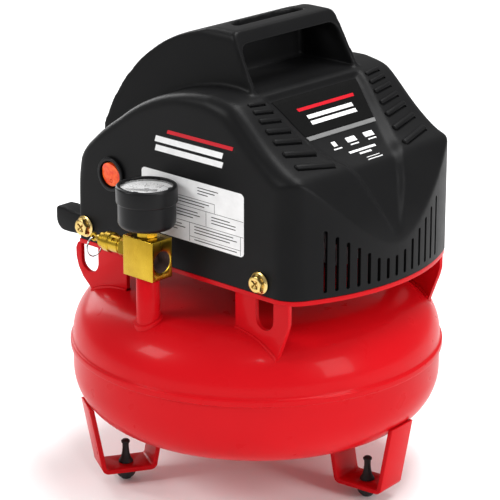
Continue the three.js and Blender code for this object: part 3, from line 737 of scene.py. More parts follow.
def dial_marks():
    """Ticks round three quarters of the dial and a number at every major one."""
    marks = []
    sweep, divisions = 270, 30
    for i in range(divisions + 1):
        length, width = (0.0030, 0.00045) if i % 5 == 0 else (0.0016, 0.00025)
        tick = box_between("tick", (-length, -width / 2, 0), (0, width / 2, 0.00006))
        marks.append(dial_place(tick, 0.0156, sweep * i / divisions))
    for i in range(0, divisions + 1, 5):
        turn = math.radians(-135 - sweep * i / divisions)
        bpy.ops.object.select_all(action="DESELECT")
        bpy.ops.object.text_add()
        number = bpy.context.object
        number.data.body = str(5 * i)
        number.data.size = 0.0036
        number.data.align_x, number.data.align_y = "CENTER", "CENTER"
        number.data.extrude = 0.00003
        bpy.ops.object.convert(target="MESH")
        number = bpy.context.object
        number.data.transform(Matrix.Rotation(math.radians(43), 4, "Z"))
        spot = Vector(gauge_place) + Vector((math.cos(turn), math.sin(turn), 0)) * 0.0106
        number.data.transform(Matrix.Translation(spot + Vector((0, 0, dial_z + 0.00003))))
        marks.append(number)
    return joined("dial_scale", marks)


scale = dial_marks()
mount(scale, "compressor", "needle_black", ink)


def pointer():
    """A stamped pointer on its hub, blunt behind and fine at the tip."""
    blade_low, blade_high = dial_z + 0.0006, dial_z + 0.0010
    outline = [(-0.0068, -0.0016), (-0.0030, -0.0009), (0, -0.0015), (0.0135, -0.0004), (0.0135, 0.0004),
               (0, 0.0015), (-0.0030, 0.0009), (-0.0068, 0.0016)]
    blade = prism("pointer", [(x, y, blade_low) for x, y in outline], (0, 0, blade_high - blade_low))
    hub_profile = [(0, blade_low - 0.0002), (0.0019, blade_low - 0.0002), (0.0019, blade_high + 0.0002)]
    hub_profile += quarter(0.0016, blade_high + 0.0001, 0.0003, 0, 90, 4) + [(0, blade_high + 0.0004)]
    combine(blade, spun("hub", hub_profile, steps=32), "UNION")
    post = spun("post", rod_line(0.0008, dial_z - 0.002, blade_low), steps=24)
    combine(blade, post, "UNION")
    blade.data.transform(Matrix.Rotation(math.radians(-145), 4, "Z"))
    blade.data.transform(Matrix.Translation(gauge_place))
    return round_edges(blade, 0.0001, 2, 50)


needle = pointer()
smooth_faces(needle, 40)
mount(needle, "needle", "needle_black", gauge_black, "gauge_needle")

# The lens's white base at low alpha lays a whitish haze over the dial: a painted sheen standing in for the
# lens's reflection.
lens_clear, lens_shader, lens_tree = new_material("clear_lens", (0.95, 0.95, 0.95), 0.05)
lens_shader.inputs["Alpha"].default_value = 0.16
lens_clear.surface_render_method = "BLENDED"
vary_roughness(lens_tree, lens_shader, 120, 3, 0.03, 0.09)
finish_nodes(lens_clear, "gauge_lens")


# ---- Safety valve and its pull ring ----
# A turned brass valve screwed into the back of the block: hexagon, barrel with exhaust slots, cap, and a
# stem with an eye. Pulling the steel split ring lifts the stem off its seat.
valve_place = (block_low.x, block_middle.y, valve_z)
rearwards = (-1, 0, 0)


def valve_barrel():
    body = hexagon_bar("valve_body", 0.014, 0.0003, 0.0065, valve_place, rearwards)
    profile = [(0.0029, -0.006), (0.0042, -0.006), (0.0042, 0.0020), (0.0059, 0.0060), (0.0059, 0.0080),
               (0.0053, 0.0084), (0.0053, 0.0096), (0.0059, 0.0100), (0.0059, 0.0178), (0.0067, 0.0186),
               (0.0067, 0.0230), (0.0063, 0.0234), (0.0029, 0.0234), (0.0029, -0.006)]
    combine(body, spun("barrel", profile, valve_place, rearwards, 64), "UNION")
    bore = rod_line(0.0029, -0.007, 0.025)
    combine(body, spun("bore", bore, valve_place, rearwards, 48), "DIFFERENCE")
    for turn in (45, 165, 285):
        vent = box_between("vent", (-0.0151, -0.0011, 0.0045), (-0.0108, 0.0011, 0.0075))
        vent.data.transform(Matrix.Rotation(math.radians(turn), 4, "X"))
        vent.data.transform(Matrix.Translation((block_low.x, block_middle.y, valve_z)))
        combine(body, vent, "DIFFERENCE")
    return body


barrel = valve_barrel()
smooth_faces(barrel, 35)
mount(barrel, "compressor", "brass", brass, "safety_valve_body")


def valve_lifter():
    eye_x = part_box("safety_valve_stem")[0].x + 0.0029
    reach = block_low.x - eye_x
    profile = [(0, 0.0020), (0.0024, 0.0020), (0.0024, 0.0242), (0.0048, 0.0242), (0.0052, 0.0246),
               (0.0052, 0.0276), (0.0048, 0.0280), (0.0024, 0.0284), (0.0024, reach - 0.0040),
               (0.0016, reach - 0.0028), (0, reach - 0.0026)]
    stem = spun("valve_lifter", profile, valve_place, rearwards, 48)
    eye_profile = [(0, -0.001), (0.0026, -0.001), (0.0029, -0.0007), (0.0029, 0.0007)]
    eye_profile += [(0.0026, 0.001), (0, 0.001)]
    eye = spun("eye", eye_profile, (eye_x, block_middle.y, valve_z), (0, 1, 0), 32)
    neck = box_between("neck", (eye_x, block_middle.y - 0.001, valve_z - 0.0018),
                       (eye_x + 0.005, block_middle.y + 0.001, valve_z + 0.0018))
    combine(stem, combine(eye, neck, "UNION"), "UNION")
    hole = rod_line(0.0014, -0.003, 0.003)
    combine(stem, spun("hole", hole, (eye_x, block_middle.y, valve_z), (0, 1, 0), 24), "DIFFERENCE")
    return round_edges(stem, 0.0002, 2, 50), eye_x


lifter, eye_x = valve_lifter()
smooth_faces(lifter, 35)
mount(lifter, "valve_stem", "brass", brass, "safety_valve_stem")

wire_steel = metal("spring_steel", (0.42, 0.42, 0.43), (0.60, 0.60, 0.61), 0.24)


def split_ring():
    """Spring wire coiled a turn and a half, as a key ring is."""
    loop, wire = 0.0066, 0.00042
    points = []
    steps = 60
    for i in range(steps + 1):
        turn = math.radians(80 + 540 * i / steps)
        across = wire * 1.06 * (2 * i / steps - 1)
        ring_y, ring_z = loop * math.cos(turn), loop * math.sin(turn)
        points.append((eye_x + across, block_middle.y + ring_y, valve_z - loop + ring_z))
    bpy.ops.object.select_all(action="DESELECT")
    bpy.ops.curve.primitive_nurbs_path_add()
    path = bpy.context.object
    path.name = "split_ring"
    path.data.splines.clear()
    spline = path.data.splines.new("POLY")
    spline.points.add(len(points) - 1)
    for point, place in zip(spline.points, points):
        point.co = (*place, 1)
    path.data.bevel_depth = wire
    path.data.bevel_resolution = 3
    path.data.use_fill_caps = True
    bpy.ops.object.convert(target="MESH")
    return bpy.context.object


pull = split_ring()
smooth_faces(pull, 50)
mount(pull, "pull_ring", "steel", wire_steel, "safety_valve_ring")


# ---- Moulded shroud ----
# One black plastic moulding over motor and pump: an arched body whose hood slopes down to a vented front,
# and a taller dome across the middle, open at the front to the hand under a grip bar. Its skin is satin.
wall = 0.003


def smooth_line(points, steps):
    """A curve through the points, with its ends doubled."""
    padded = [points[0], *points, points[-1]]
    line = []
    for a, b, c, d in zip(padded, padded[1:], padded[2:], padded[3:]):
        for i in range(steps):
            t = i / steps
            line.append(tuple(
                0.5 * (2 * q + (r - p) * t + (2 * p - 5 * q + 4 * r - s) * t ** 2
                       + (3 * q - p - 3 * r + s) * t ** 3)
                for p, q, r, s in zip(a, b, c, d)
            ))
    return line + [points[-1]]


hood_points = [
    (0.030, 0.2793), (0.045, 0.2770), (0.054, 0.2722), (0.074, 0.2540), (0.090, 0.2425), (0.103, 0.2360),
    (0.112, 0.2200), (0.119, 0.2000), (0.124, 0.1760),
]
hood_line = smooth_line(hood_points, 4)


def hood_point(x, lift=0.0):
    """The point of the hood's middle line above x, raised off the surface by the lift, and its slope."""
    for (x0, z0), (x1, z1) in zip(hood_line, hood_line[1:]):
        if x <= x1:
            break
    slope = Vector((x1 - x0, 0, z1 - z0)).normalized()
    z = z0 + (z1 - z0) * (x - x0) / (x1 - x0)
    outwards = Vector((-slope.z, 0, slope.x))
    return Vector((x, 0, z)) + outwards * lift, slope, outwards


rear_top = 0.213
rear_curve = [(-0.0873, 0.2172), (-0.0850, 0.2218), (-0.0808, 0.2271), (-0.0755, 0.2320), (-0.0685, 0.2382),
              (-0.0610, 0.2439)]


def arch_outline(inset, floor_z):
    points = [(rear_x + inset, floor_z), (rear_x + inset, rear_top - inset)]
    points += [(x + 0.7 * inset, z - 0.7 * inset) for x, z in rear_curve]
    points += quarter(0.030, 0.151, 0.1283 - inset, 128, 93, 15)
    points += [(x, z - inset) for x, z in hood_line]
    return points + [(0.126, floor_z)]


def round_shoulders(body):
    """Rounds the arch's two long edges, 7 mm at the rear growing to 11 mm along the hood."""
    weights = body.data.attributes.new("bevel_weight_edge", "FLOAT", "EDGE")
    for edge in body.data.edges:
        start, end = (body.data.vertices[i].co for i in edge.vertices)
        middle = (start + end) / 2
        if abs(start.y - end.y) > 0.001 or middle.z < skirt_z - 0.011:
            continue
        if middle.x < rear_x + 0.0002:
            weights.data[edge.index].value = 0.1
        else:
            weights.data[edge.index].value = min(1, max(0.6, 0.6 + (middle.x - 0.01) / 0.1))
    bevel = body.modifiers.new("shoulders", "BEVEL")
    bevel.width = 0.011
    bevel.segments = 6
    bevel.limit_method = "WEIGHT"
    bevel.use_clamp_overlap = False
    apply_modifiers(body)


def round_hood_crease(body, width):
    """Rounds the edge where the hood meets the front wall."""
    to_edit_mode(body)
    bpy.ops.mesh.select_mode(type="EDGE")
    bpy.ops.mesh.select_all(action="DESELECT")
    bpy.ops.mesh.edges_select_sharp(sharpness=math.radians(25))
    to_object_mode()
    for edge in body.data.edges:
        middle = sum((body.data.vertices[i].co for i in edge.vertices), Vector()) / 2
        edge.select = edge.select and middle.x > 0.085 and middle.z > 0.195
    bpy.ops.object.mode_set(mode="EDIT")
    bpy.ops.mesh.bevel(offset=width, segments=4, affect="EDGES", clamp_overlap=True)
    bpy.ops.mesh.select_mode(type="VERT")
    return to_object_mode()


def body_form(name, inset, floor_z, rounded=False):
    """The arched body as a solid block, its outline shrunk by an inset."""
    arch = arch_outline(inset, floor_z)
    half = side_y - inset
    body = prism(name, [(x, -half, z) for x, z in arch], (0, 2 * half, 0))
    if rounded:
        round_shoulders(body)
    plan = prism("plan", [(x, y * 1.0001, floor_z - 0.01) for x, y in plan_outline(inset)], (0, 0, 0.2))
    return combine(body, plan, "INTERSECT")


dome_base = 0.276


def dome_section(inset):
    """Seen from the front: side walls leaning in to a rounded top."""
    lean, top, base, turn = 0.075, grip_top - inset, 0.195, 0.006

    def half(z):
        return 0.051 - inset - (z - dome_base) * lean

    right = [(half(base), base)] + quarter(half(top - turn) - turn, top - turn, turn, 8, 90, 8)
    return right + [(-y, z) for y, z in reversed(right)]


def dome_form(name, inset, front, arc_end):
    rise = quarter(0.021, 0.199, 0.115 - inset, 161.5, arc_end, 28)
    side = [(rear_x + inset, 0.2), *rise, *front]
    dome = prism(name, [(x, -0.07, z) for x, z in side], (0, 0.14, 0))
    section = prism("section", [(-0.11, y, z) for y, z in dome_section(inset)], (0.18, 0, 0))
    return combine(dome, section, "INTERSECT")


grip_floor, grip_roof, grip_back, grip_half = 0.2775, 0.306, -0.003, 0.045


def grip_mouth():
    """The hand's way in under the bar, rounded at its upper corners."""
    turn = 0.007
    outline = [(-grip_half - 0.0015, grip_floor), (grip_half + 0.0015, grip_floor)]
    outline += quarter(grip_half - turn, grip_roof - turn, turn, 0, 90, 6)
    outline += quarter(-grip_half + turn, grip_roof - turn, turn, 90, 180, 6)
    return prism("grip_mouth", [(grip_back, y, z) for y, z in outline], (0.08, 0, 0))


def finger_slot():
    """The D-shaped slot behind the bar: straight along the bar, bulging to the rear."""
    straight, reach, half = 0.0130, 0.0155, 0.032
    angles = [math.radians(a) for a in range(80, -81, -10)]
    bow = [(straight - reach * math.cos(a) ** 0.8, half * math.sin(a)) for a in angles]
    outline = [(straight, -half), (straight, half), *bow]
    return prism("finger_slot", [(x, y, grip_roof - 0.008) for x, y in outline], (0, 0, 0.03))


def sheet_through(name, rows):
    """A sheet of faces through rows of points."""
    bpy.ops.object.select_all(action="DESELECT")
    across, along = len(rows[0]) - 1, len(rows) - 1
    bpy.ops.mesh.primitive_grid_add(x_subdivisions=across, y_subdivisions=along, size=1)
    sheet = bpy.context.object
    sheet.name = name
    points = [point for row in rows for point in row]
    for vertex, point in zip(sheet.data.vertices, points):
        vertex.co = point
    return sheet


def thickened(sheet, along):
    """A sheet drawn out to a solid."""
    to_edit_mode(sheet)
    bpy.ops.mesh.select_all(action="SELECT")
    bpy.ops.mesh.extrude_region_move(TRANSFORM_OT_translate={"value": along})
    tidy_faces()
    return to_object_mode()


shield_lines = [
    (0.0475, 0.0425, 0.0465), (0.0560, 0.0400, 0.0450), (0.0680, 0.0355, 0.0418), (0.0800, 0.0305, 0.0378),
    (0.0930, 0.0245, 0.0320), (0.1040, 0.0190, 0.0250), (0.1120, 0.0130, 0.0175), (0.1180, 0.0062, 0.0090),
    (0.1210, 0.0012, 0.0030),
]
shield_depth = 0.0028


def shield_half(x):
    """Half the width of the shield's sunk floor, and of its opening, at a distance along it."""
    for (x0, floor0, edge0), (x1, floor1, edge1) in zip(shield_lines, shield_lines[1:]):
        if x <= x1:
            break
    t = (x - x0) / (x1 - x0)
    return floor0 + (floor1 - floor0) * t, edge0 + (edge1 - edge0) * t


def shield_sink(x):
    return shield_depth * min(1, shield_half(x)[0] / 0.012)


def shield_form(deeper, grow):
    """The shield's sunk floor and its sloping sides, carried up clear of the hood."""
    rise, rows = 0.0012, []
    start, end = shield_lines[0][0], shield_lines[-1][0]
    for i in range(41):
        x = start + (end - start) * i / 40
        inner, outer = (half + grow for half in shield_half(x))
        sunk = shield_sink(x) + deeper
        outer += (outer - inner) * rise / sunk
        floor_point, edge_point = hood_point(x, -sunk)[0], hood_point(x, rise)[0]
        rows.append([edge_point + Vector((0, -outer, 0)), floor_point + Vector((0, -inner, 0)),
                     floor_point + Vector((0, inner, 0)), edge_point + Vector((0, outer, 0))])
    return thickened(sheet_through("shield", rows), (0.02, 0, 0.02))


louvre_lines = [
    ((0.0518, 0.0485), (0.0505, 0.0620)), ((0.0570, 0.0468), (0.0553, 0.0622)),
    ((0.0623, 0.0452), (0.0605, 0.0624)), ((0.0688, 0.0435), (0.0663, 0.0626)),
    ((0.0758, 0.0410), (0.0725, 0.0626)), ((0.0850, 0.0378), (0.0803, 0.0624)),
    ((0.0970, 0.0338), (0.0900, 0.0620)),
]


def along_hood(block, start, end):
    """Lays a block made along X onto the hood, from one (x, y) to another."""
    first, last = hood_point(start[0])[0], hood_point(end[0])[0]
    first.y, last.y = start[1], end[1]
    run = (last - first).normalized()
    outwards = hood_point((start[0] + end[0]) / 2)[2]
    across = outwards.cross(run).normalized()
    outwards = run.cross(across)
    turn = Matrix((run, across, outwards)).transposed().to_4x4()
    block.data.transform(Matrix.Translation((first + last) / 2) @ turn)
    return block


def louvres():
    """Seven raised lips each side of the shield, each with a slit below it, growing towards the front."""
    lips, slits = [], []
    for i, (inner, outer) in enumerate(louvre_lines):
        width = 0.0024 + 0.0003 * i
        height = 0.0012 + 0.00012 * i
        for side in (-1, 1):
            start, end = (inner[0], side * inner[1]), (outer[0], side * outer[1])
            span = math.hypot(end[0] - start[0], end[1] - start[1]) + 0.001
            lip = box_between("lip", (-span / 2, -width / 2, -0.0015), (span / 2, width / 2, height))
            round_edges(lip, width * 0.36, 4, 40)
            lips.append(along_hood(lip, start, end))
            ahead = 0.5 * width + 0.0006
            reach = span / 2 - 0.0006
            slit = box_between("slit", (-reach, -0.0006, -0.0009), (reach, 0.0006, 0.004))
            slit.data.transform(Matrix.Translation((0, -side * ahead, 0)))
            slits.append(along_hood(slit, start, end))
    return joined("lips", lips), joined("slits", slits)


def shroud_skin():
    """The outside of the moulding as one softened skin with a flat foot."""
    body = body_form("shroud_cover", 0, skirt_z - 0.012, rounded=True)
    round_hood_crease(body, 0.0080)
    round_edges(body, 0.0010, 3, 38)
    slope = [(0.0000, 0.3130), (0.0055, 0.3138), (0.012, grip_top), (0.024, grip_top), (0.045, dome_base)]
    slope += [(0.045, 0.2)]
    dome = round_edges(dome_form("dome", 0, slope, 103.5), 0.0030, 3, 32)
    combine(body, dome, "UNION")
    combine(body, grip_mouth(), "DIFFERENCE")
    combine(body, finger_slot(), "DIFFERENCE")
    combine(body, shield_form(0, 0), "DIFFERENCE")
    remesh = body.modifiers.new("even_skin", "REMESH")
    remesh.mode = "VOXEL"
    remesh.voxel_size = 0.00122
    soften = body.modifiers.new("soften", "SMOOTH")
    soften.factor = 0.5
    soften.iterations = 8
    apply_modifiers(body)
    to_edit_mode(body)
    bpy.ops.mesh.select_all(action="SELECT")
    bpy.ops.mesh.bisect(plane_co=(0, 0, skirt_z), plane_no=(0, 0, 1), use_fill=True, clear_inner=True)
    return to_object_mode()


def shroud_hollow():
    """The inside: the outline shrunk by the wall, kept clear of the grip pocket and the shield."""
    hollow = body_form("hollow", wall, skirt_z - 0.02, rounded=True)
    pocket = box_between("pocket", (grip_back - wall, -0.0485, grip_floor - wall), (0.060, 0.0485, 0.33))
    combine(hollow, pocket, "DIFFERENCE")
    combine(hollow, shield_form(0.0025, 0.0030), "DIFFERENCE")
    back = grip_back - wall
    combine(hollow, dome_form("dome_hollow", wall, [(back, 0.300), (back, 0.2)], 104), "UNION")
    return hollow


def vent_slots():
    """Upright slots through the curved front, taller towards the corners."""
    count, slots = 14, []
    for i in range(count):
        angle = -23 + 42 * i / (count - 1)
        height = max(0.0138, 0.0084 + 0.0049 * abs(i - (count - 1) / 2))
        slot = box_between("slot", (0.130, -0.0013, 0.1645), (0.150, 0.0013, 0.1645 + height))
        round_edges(slot, 0.0010, 2, 60)
        slot.data.transform(Matrix.Rotation(math.radians(angle), 4, "Z"))
        slot.data.transform(Matrix.Translation((front_centre, 0, 0)))
        slots.append(slot)
    return joined("vent_slots", slots)


screw_nodes = ("screw_rear_left", "screw_front_left", "screw_rear_right", "screw_front_right")


def middle_of(node):
    low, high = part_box(node)
    return (low + high) / 2


def round_holes():
    """Holes for the four screws, the switch and the cord gland."""
    holes = []
    for node in screw_nodes:
        middle = middle_of(node)
        profile = rod_line(0.0027, 0.060, 0.085)
        holes.append(spun("hole", profile, (middle.x, 0, middle.z), (0, math.copysign(1, middle.y), 0), 24))
    middle = middle_of("switch_bezel")
    profile = rod_line(0.0099, 0.060, 0.085)
    holes.append(spun("hole", profile, (middle.x, 0, middle.z), (0, -1, 0), 48))
    middle = middle_of("cord_gland")
    profile = rod_line(0.0060, 0.080, 0.095)
    holes.append(spun("hole", profile, (0, middle.y, middle.z), (-1, 0, 0), 32))
    return joined("round_holes", holes)


def satin_black():
    material, shader, tree = new_material("satin_black_moulding", (0.006, 0.006, 0.0063), 0.42)
    vary_colour(tree, shader, 14, 3, [(0.3, (0.0052, 0.0052, 0.0055)), (0.7, (0.0075, 0.0075, 0.0078))])
    vary_roughness(tree, shader, 90, 3, 0.34, 0.46)
    shader.inputs["Specular IOR Level"].default_value = 0.08
    add_bump(tree, shader, noise(tree, 1800, 2), 0.25, 0.0002)
    return material


black_plastic = satin_black()
shroud = shroud_skin()
raised_lips, cut_slits = louvres()
combine(shroud, raised_lips, "UNION")
combine(shroud, cut_slits, "DIFFERENCE")
combine(shroud, shroud_hollow(), "DIFFERENCE")
combine(shroud, vent_slots(), "DIFFERENCE")
combine(shroud, round_holes(), "DIFFERENCE")
smooth_faces(shroud, 42)
mount(shroud, "compressor", "black_plastic", black_plastic, "shroud")


# ---- Printed shield and side panel ----
# The shield's printing and the side panel's decoration are thin glossy films stuck on the moulding. They
# carry plain bars only.
def film(name, base, roughness):
    material, shader, tree = new_material(name, base, roughness)
    shades = [(0.3, tuple(0.92 * c for c in base)), (0.7, tuple(min(1, 1.04 * c) for c in base))]
    vary_colour(tree, shader, 120, 2, shades)
    vary_roughness(tree, shader, 200, 2, roughness - 0.05, roughness + 0.05)
    shader.inputs["Specular IOR Level"].default_value = 0.15
    return material


badge_black = film("badge_black", (0.003, 0.003, 0.003), 0.16)
film_white = film("film_white", (0.80, 0.80, 0.80), 0.35)
film_red = film("film_red", (0.52, 0.008, 0.018), 0.3)
film_grey = film("film_grey", (0.17, 0.17, 0.17), 0.4)


def on_shield(name, start, end, half_start, half_end, lift, offset=0.0):
    """A film on the shield's floor between two distances along it, with its half widths there."""
    rows = []
    steps = 10
    for i in range(steps + 1):
        x = start + (end - start) * i / steps
        half = half_start + (half_end - half_start) * i / steps
        point = hood_point(x, lift - shield_sink(x))[0]
        rows.append([point + Vector((0, offset - half, 0)), point + Vector((0, offset, 0)),
                     point + Vector((0, offset + half, 0))])
    return thickened(sheet_through(name, rows), hood_point((start + end) / 2)[2] * -0.0010)


badge = on_shield("badge_plate", 0.0515, 0.0738, 0.0405, 0.0328, 0.00045)
round_edges(badge, 0.0002, 2, 50)
mount(badge, "compressor", "black_plastic", badge_black)
divider = on_shield("badge_divider", 0.0742, 0.0765, 0.0328, 0.0318, 0.0006)
mount(divider, "compressor", "black_plastic", film_grey)
white_bars = [on_shield("bar", 0.0635, 0.0655, 0.0215, 0.0215, 0.0006, 0.001)]
white_bars.append(on_shield("bar", 0.0668, 0.0688, 0.0215, 0.0215, 0.0006, 0.001))
for offset, half in ((-0.0150, 0.0018), (0.0010, 0.0044), (0.0180, 0.0044)):
    white_bars.append(on_shield("bar", 0.0806, 0.0836, half, half, 0.00035, offset))
    white_bars.append(on_shield("bar", 0.0850, 0.0857, 0.0038, 0.0038, 0.00035, offset))
for start, thick, half, offset in (
    (0.0892, 0.0012, 0.0125, 0.003), (0.0918, 0.0012, 0.0055, 0.003),
    (0.0965, 0.0005, 0.0060, 0.005), (0.0986, 0.0005, 0.0070, 0.005),
):
    white_bars.append(on_shield("bar", start, start + thick, half, half, 0.00035, offset))
shield_bars = joined("shield_bars", white_bars)
mount(shield_bars, "compressor", "dial", film_white)
shield_stripe = on_shield("shield_stripe", 0.0590, 0.0607, 0.0270, 0.0265, 0.0006, 0.002)
mount(shield_stripe, "compressor", "red_paint", film_red)

panel_y = -side_y


def on_panel(name, outline, proud=0.00012):
    """A film on the flat side, drawn as (x, z) points."""
    return prism(name, [(x, panel_y + 0.0004, z) for x, z in outline], (0, -0.0004 - proud, 0))


def rectangle(x0, x1, z0, z1, turn=0.0, lean=0.0):
    if not turn:
        return [(x0, z0), (x1, z0), (x1 + lean, z1), (x0 + lean, z1)]
    outline = quarter(x1 - turn, z0 + turn, turn, -90, 0, 6)
    outline += quarter(x1 - turn, z1 - turn, turn, 0, 90, 6)
    outline += quarter(x0 + turn, z1 - turn, turn, 90, 180, 6)
    return outline + quarter(x0 + turn, z0 + turn, turn, 180, 270, 6)


side_bars = []
for low in (0.2365, 0.2425):
    side_bars.append(on_panel("bar", rectangle(-0.0150, 0.0440, low, low + 0.0040, lean=0.0013)))
mount(joined("side_bars", side_bars), "compressor", "dial", film_white)
side_stripe = on_panel("side_stripe", rectangle(-0.0040, 0.0530, 0.2495, 0.2520, lean=0.001))
mount(side_stripe, "compressor", "red_paint", film_red)

label_left, label_right, label_bottom, label_top = -0.0272, 0.0628, 0.1819, 0.2233
label = on_panel("rating_label", rectangle(label_left, label_right, label_bottom, label_top, turn=0.003))
mount(label, "compressor", "dial", film_white)


hairline = 0.0003


def label_bar(left, down, wide, thick=hairline):
    """A printed line on the label, from its left edge and down from its top."""
    x, z = label_left + left, label_top - down
    return box_between("line", (x, panel_y - 0.00016, z - thick), (x + wide, panel_y + 0.0002, z))


def label_post(left, down, tall):
    x, z = label_left + left, label_top - down
    return box_between("line", (x, panel_y - 0.00016, z - tall), (x + hairline, panel_y + 0.0002, z))


lines = [label_bar(0.002, 0.0118, 0.0626), label_post(0.0646, 0.0118, 0.0062)]
lines += [label_bar(0.002, 0.0180, 0.0876), label_post(0.0572, 0.0180, 0.0102)]
lines += [label_bar(0.002, 0.0282, 0.0876), label_post(0.0427, 0.0282, 0.0125)]
lines += [label_bar(0.0427, 0.0372, 0.0443), label_post(0.0870, 0.0282, 0.0125)]
for left, down, widths in (
    (0.050, 0.0035, (0.018, 0.015, 0.009)), (0.006, 0.0135, (0.054, 0.050)),
    (0.006, 0.0205, (0.044, 0.046, 0.040)), (0.062, 0.0205, (0.016, 0.021, 0.021)),
    (0.047, 0.0300, (0.034, 0.037, 0.031)), (0.006, 0.0305, (0.030, 0.033, 0.026)),
    (0.047, 0.0388, (0.037,)),
):
    for i, wide in enumerate(widths):
        lines.append(label_bar(left, down + 0.0020 * i, wide, 0.0006))
label_lines = joined("label_lines", lines)
mount(label_lines, "compressor", "needle_black", ink)


# ---- Shroud screws ----
# Four yellow-zinc hexagon screws with a pressed washer face and a cross recess, driven into the carrier's
# tabs.
yellow_zinc = metal("yellow_zinc", (0.55, 0.36, 0.09), (0.74, 0.55, 0.22), 0.28, grain=300)


def hexagon_screw():
    profile = [(0, -0.011), (0.0020, -0.011), (0.0023, -0.0102), (0.0023, 0.0003), (0.0066, 0.0003),
               (0.0072, 0.0006), (0.0072, 0.0010), (0.0066, 0.0015), (0.0050, 0.0019), (0, 0.0019)]
    screw = spun("screw", profile, steps=64)
    head = hexagon_bar("head", 0.0098, 0.0012, 0.0052, (0, 0, 0), (0, 0, 1))
    combine(screw, head, "UNION")
    dish = spun("dish", [(0, 0.0047), (0.0022, 0.0048), (0.0034, 0.0056), (0, 0.0056)], steps=48)
    combine(screw, dish, "DIFFERENCE")
    for turn in (45, 135):
        blade = [(-0.0036, 0.0060), (0.0036, 0.0060), (0.0031, 0.0040), (0.0014, 0.0024), (-0.0014, 0.0024),
                 (-0.0031, 0.0040)]
        recess = prism("recess", [(x, -0.0007, z) for x, z in blade], (0, 0.0014, 0))
        recess.data.transform(Matrix.Rotation(math.radians(turn), 4, "Z"))
        combine(screw, recess, "DIFFERENCE")
    return screw


first_screw = hexagon_screw()
for node in screw_nodes:
    middle = middle_of(node)
    side = math.copysign(1, middle.y)
    screw = copy_of(first_screw, node.replace("screw", "hexagon_screw"))
    screw.data.transform(Matrix.Rotation(math.radians(-90 * side), 4, "X"))
    screw.data.transform(Matrix.Translation((middle.x, side * side_y, middle.z)))
    smooth_faces(screw, 35)
    mount(screw, "compressor", "yellow_zinc", yellow_zinc, node)
bpy.data.objects.remove(first_screw)


# ---- Rocker switch ----
# A round snap-in switch: black nylon bezel and a clear orange-red rocker. The rocker tips up and down about
# a line along the shroud.
switch_middle = middle_of("switch_bezel")
switch_place = (switch_middle.x, 0, switch_middle.z)
bezel_profile = [(0.0091, 0.0660), (0.0097, 0.0660), (0.0097, 0.0793), (0.0113, 0.0793), (0.0115, 0.0796)]
bezel_profile += quarter(0.0107, 0.0806, 0.0008, 0, 90, 5) + quarter(0.0096, 0.0809, 0.0005, 90, 180, 4)
bezel_profile += [(0.0091, 0.0800), (0.0091, 0.0660)]
switch_ring = spun("switch_ring", bezel_profile, switch_place, (0, -1, 0), 72)
smooth_faces(switch_ring, 40)
mount(switch_ring, "compressor", "black_plastic", gauge_black, "switch_bezel")

rocker_orange, rocker_shader, rocker_tree = new_material("rocker_orange", (0.83, 0.08, 0.012), 0.18)
vary_colour(rocker_tree, rocker_shader, 260, 3, [(0.35, (0.74, 0.045, 0.008)), (0.65, (0.90, 0.13, 0.02))])
rocker_shader.inputs["Specular IOR Level"].default_value = 0.15
rocker_shader.inputs["Coat Weight"].default_value = 0.15
add_bump(rocker_tree, rocker_shader, noise(rocker_tree, 500, 2), 0.1, 0.0002)


def rocker_body():
    """Two slopes that meet across the middle, cut to the bezel's round bore."""
    face, radius = side_y, 0.008
    section = [(-face + 0.003, -radius), (-face - 0.0008, -radius)]
    section += [(-face - 0.0008 - 0.0002 * i / 6, -radius + radius * i / 6) for i in range(1, 6)]
    section += [(-face - 0.0009 - 0.0021 * (i / 8) ** 1.3, radius * i / 8) for i in range(1, 9)]
    section += [(-face + 0.003, radius)]
    block = prism("rocker", [(-0.02, y, z) for y, z in section], (0.04, 0, 0))
    round_form = spun("round", rod_line(radius, 0.06, 0.09), (0, 0, 0), (0, -1, 0), 64)
    combine(block, round_form, "INTERSECT")
    mark = [(0.0009, 0.0785), (0.0013, 0.0785), (0.0013, 0.0805), (0.0009, 0.0805), (0.0009, 0.0785)]
    combine(block, spun("mark", mark, (0, 0, -0.0046), (0, -1, 0), 24), "DIFFERENCE")
    block.data.transform(Matrix.Translation((switch_middle.x, 0, switch_middle.z)))
    return round_edges(block, 0.0005, 3, 40)


rocker = rocker_body()
smooth_faces(rocker, 40)
mount(rocker, "rocker", "orange_plastic", rocker_orange, "switch_rocker")


# ---- Cord hooks and cord gland ----
# Two moulded hooks on the rear wall take the supply cord's turns; the gland grips the cord where it enters.
def cord_hook(y):
    section = [(-0.0883, 0.1605), (-0.0960, 0.1596), (-0.1060, 0.1588)]
    section += quarter(-0.1100, 0.1668, 0.0080, -80, -180, 8)
    section += quarter(-0.1152, 0.1726, 0.0028, 180, 75, 6)
    section += [(-0.1100, 0.1757), (-0.1030, 0.1745), (-0.0960, 0.1738), (-0.0883, 0.1735)]
    hook = prism("cord_hook", [(x, y - 0.007, z) for x, z in section], (0, 0.014, 0))
    return round_edges(hook, 0.0016, 4, 30)


for side, node in ((-1, "cord_cleat_left"), (1, "cord_cleat_right")):
    hook = cord_hook(middle_of(node).y)
    hook.name = node.replace("cleat", "hook")
    smooth_faces(hook, 40)
    mount(hook, "compressor", "black_plastic", black_plastic, node)

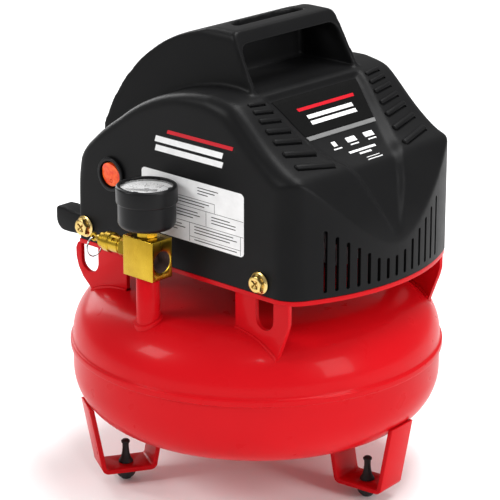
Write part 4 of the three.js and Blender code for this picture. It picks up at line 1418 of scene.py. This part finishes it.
gland_middle = middle_of("cord_gland")
gland_profile = [(0.0035, 0.080), (0.0056, 0.080), (0.0056, 0.0883), (0.0082, 0.0883), (0.0085, 0.0887)]
gland_profile += [(0.0085, 0.0906), (0.0081, 0.0911), (0.0064, 0.0918)]
for i in range(5):
    level, radius = 0.0922 + 0.0023 * i, 0.0063 - 0.00025 * i
    gland_profile += [(radius, level), (radius, level + 0.0011), (radius - 0.0009, level + 0.0014)]
    gland_profile += [(radius - 0.0009, level + 0.0019)]
gland_profile += [(0.0050, 0.1036), (0.0047, 0.1040), (0.0038, 0.1040), (0.0035, 0.1037), (0.0035, 0.080)]
gland = spun("gland_sleeve", gland_profile, (0, gland_middle.y, gland_middle.z), (-1, 0, 0), 48)
smooth_faces(gland, 40)
mount(gland, "compressor", "rubber", rubber, "cord_gland")


# ---- Motor and pump inside the shroud ----
# A universal motor drives an eccentric, whose rod pushes an oil-less piston in an aluminium cylinder. A
# copper tube leads from the head to the tank's check valve. They show only through the slots.
laminations = metal("motor_steel", (0.30, 0.30, 0.31), (0.46, 0.46, 0.47), 0.38)
copper = metal("copper", (0.55, 0.20, 0.09), (0.72, 0.32, 0.16), 0.32)
cast_aluminium = metal("cast_aluminium", (0.42, 0.42, 0.43), (0.58, 0.58, 0.59), 0.48, grain=120)
ptfe, ptfe_shader, ptfe_tree = new_material("piston_ptfe", (0.75, 0.73, 0.66), 0.45)
vary_roughness(ptfe_tree, ptfe_shader, 200, 3, 0.38, 0.55)
finish_nodes(laminations, "motor_stator", "armature", "motor_shaft", "shaft_bearing_front",
             "shaft_bearing_rear", "eccentric", "crank_bearing", "valve_plate")
finish_nodes(copper, "field_coil_front", "field_coil_rear", "commutator", "discharge_tube")
finish_nodes(cast_aluminium, "motor_bracket_front", "crankcase", "connecting_rod", "cylinder",
             "cylinder_head")
finish_nodes(brass, "brush_holder_left", "brush_holder_right", "check_valve")
finish_nodes(black_plastic, "cooling_fan", "intake_filter", "pressure_switch")
finish_nodes(ptfe, "piston_cup")
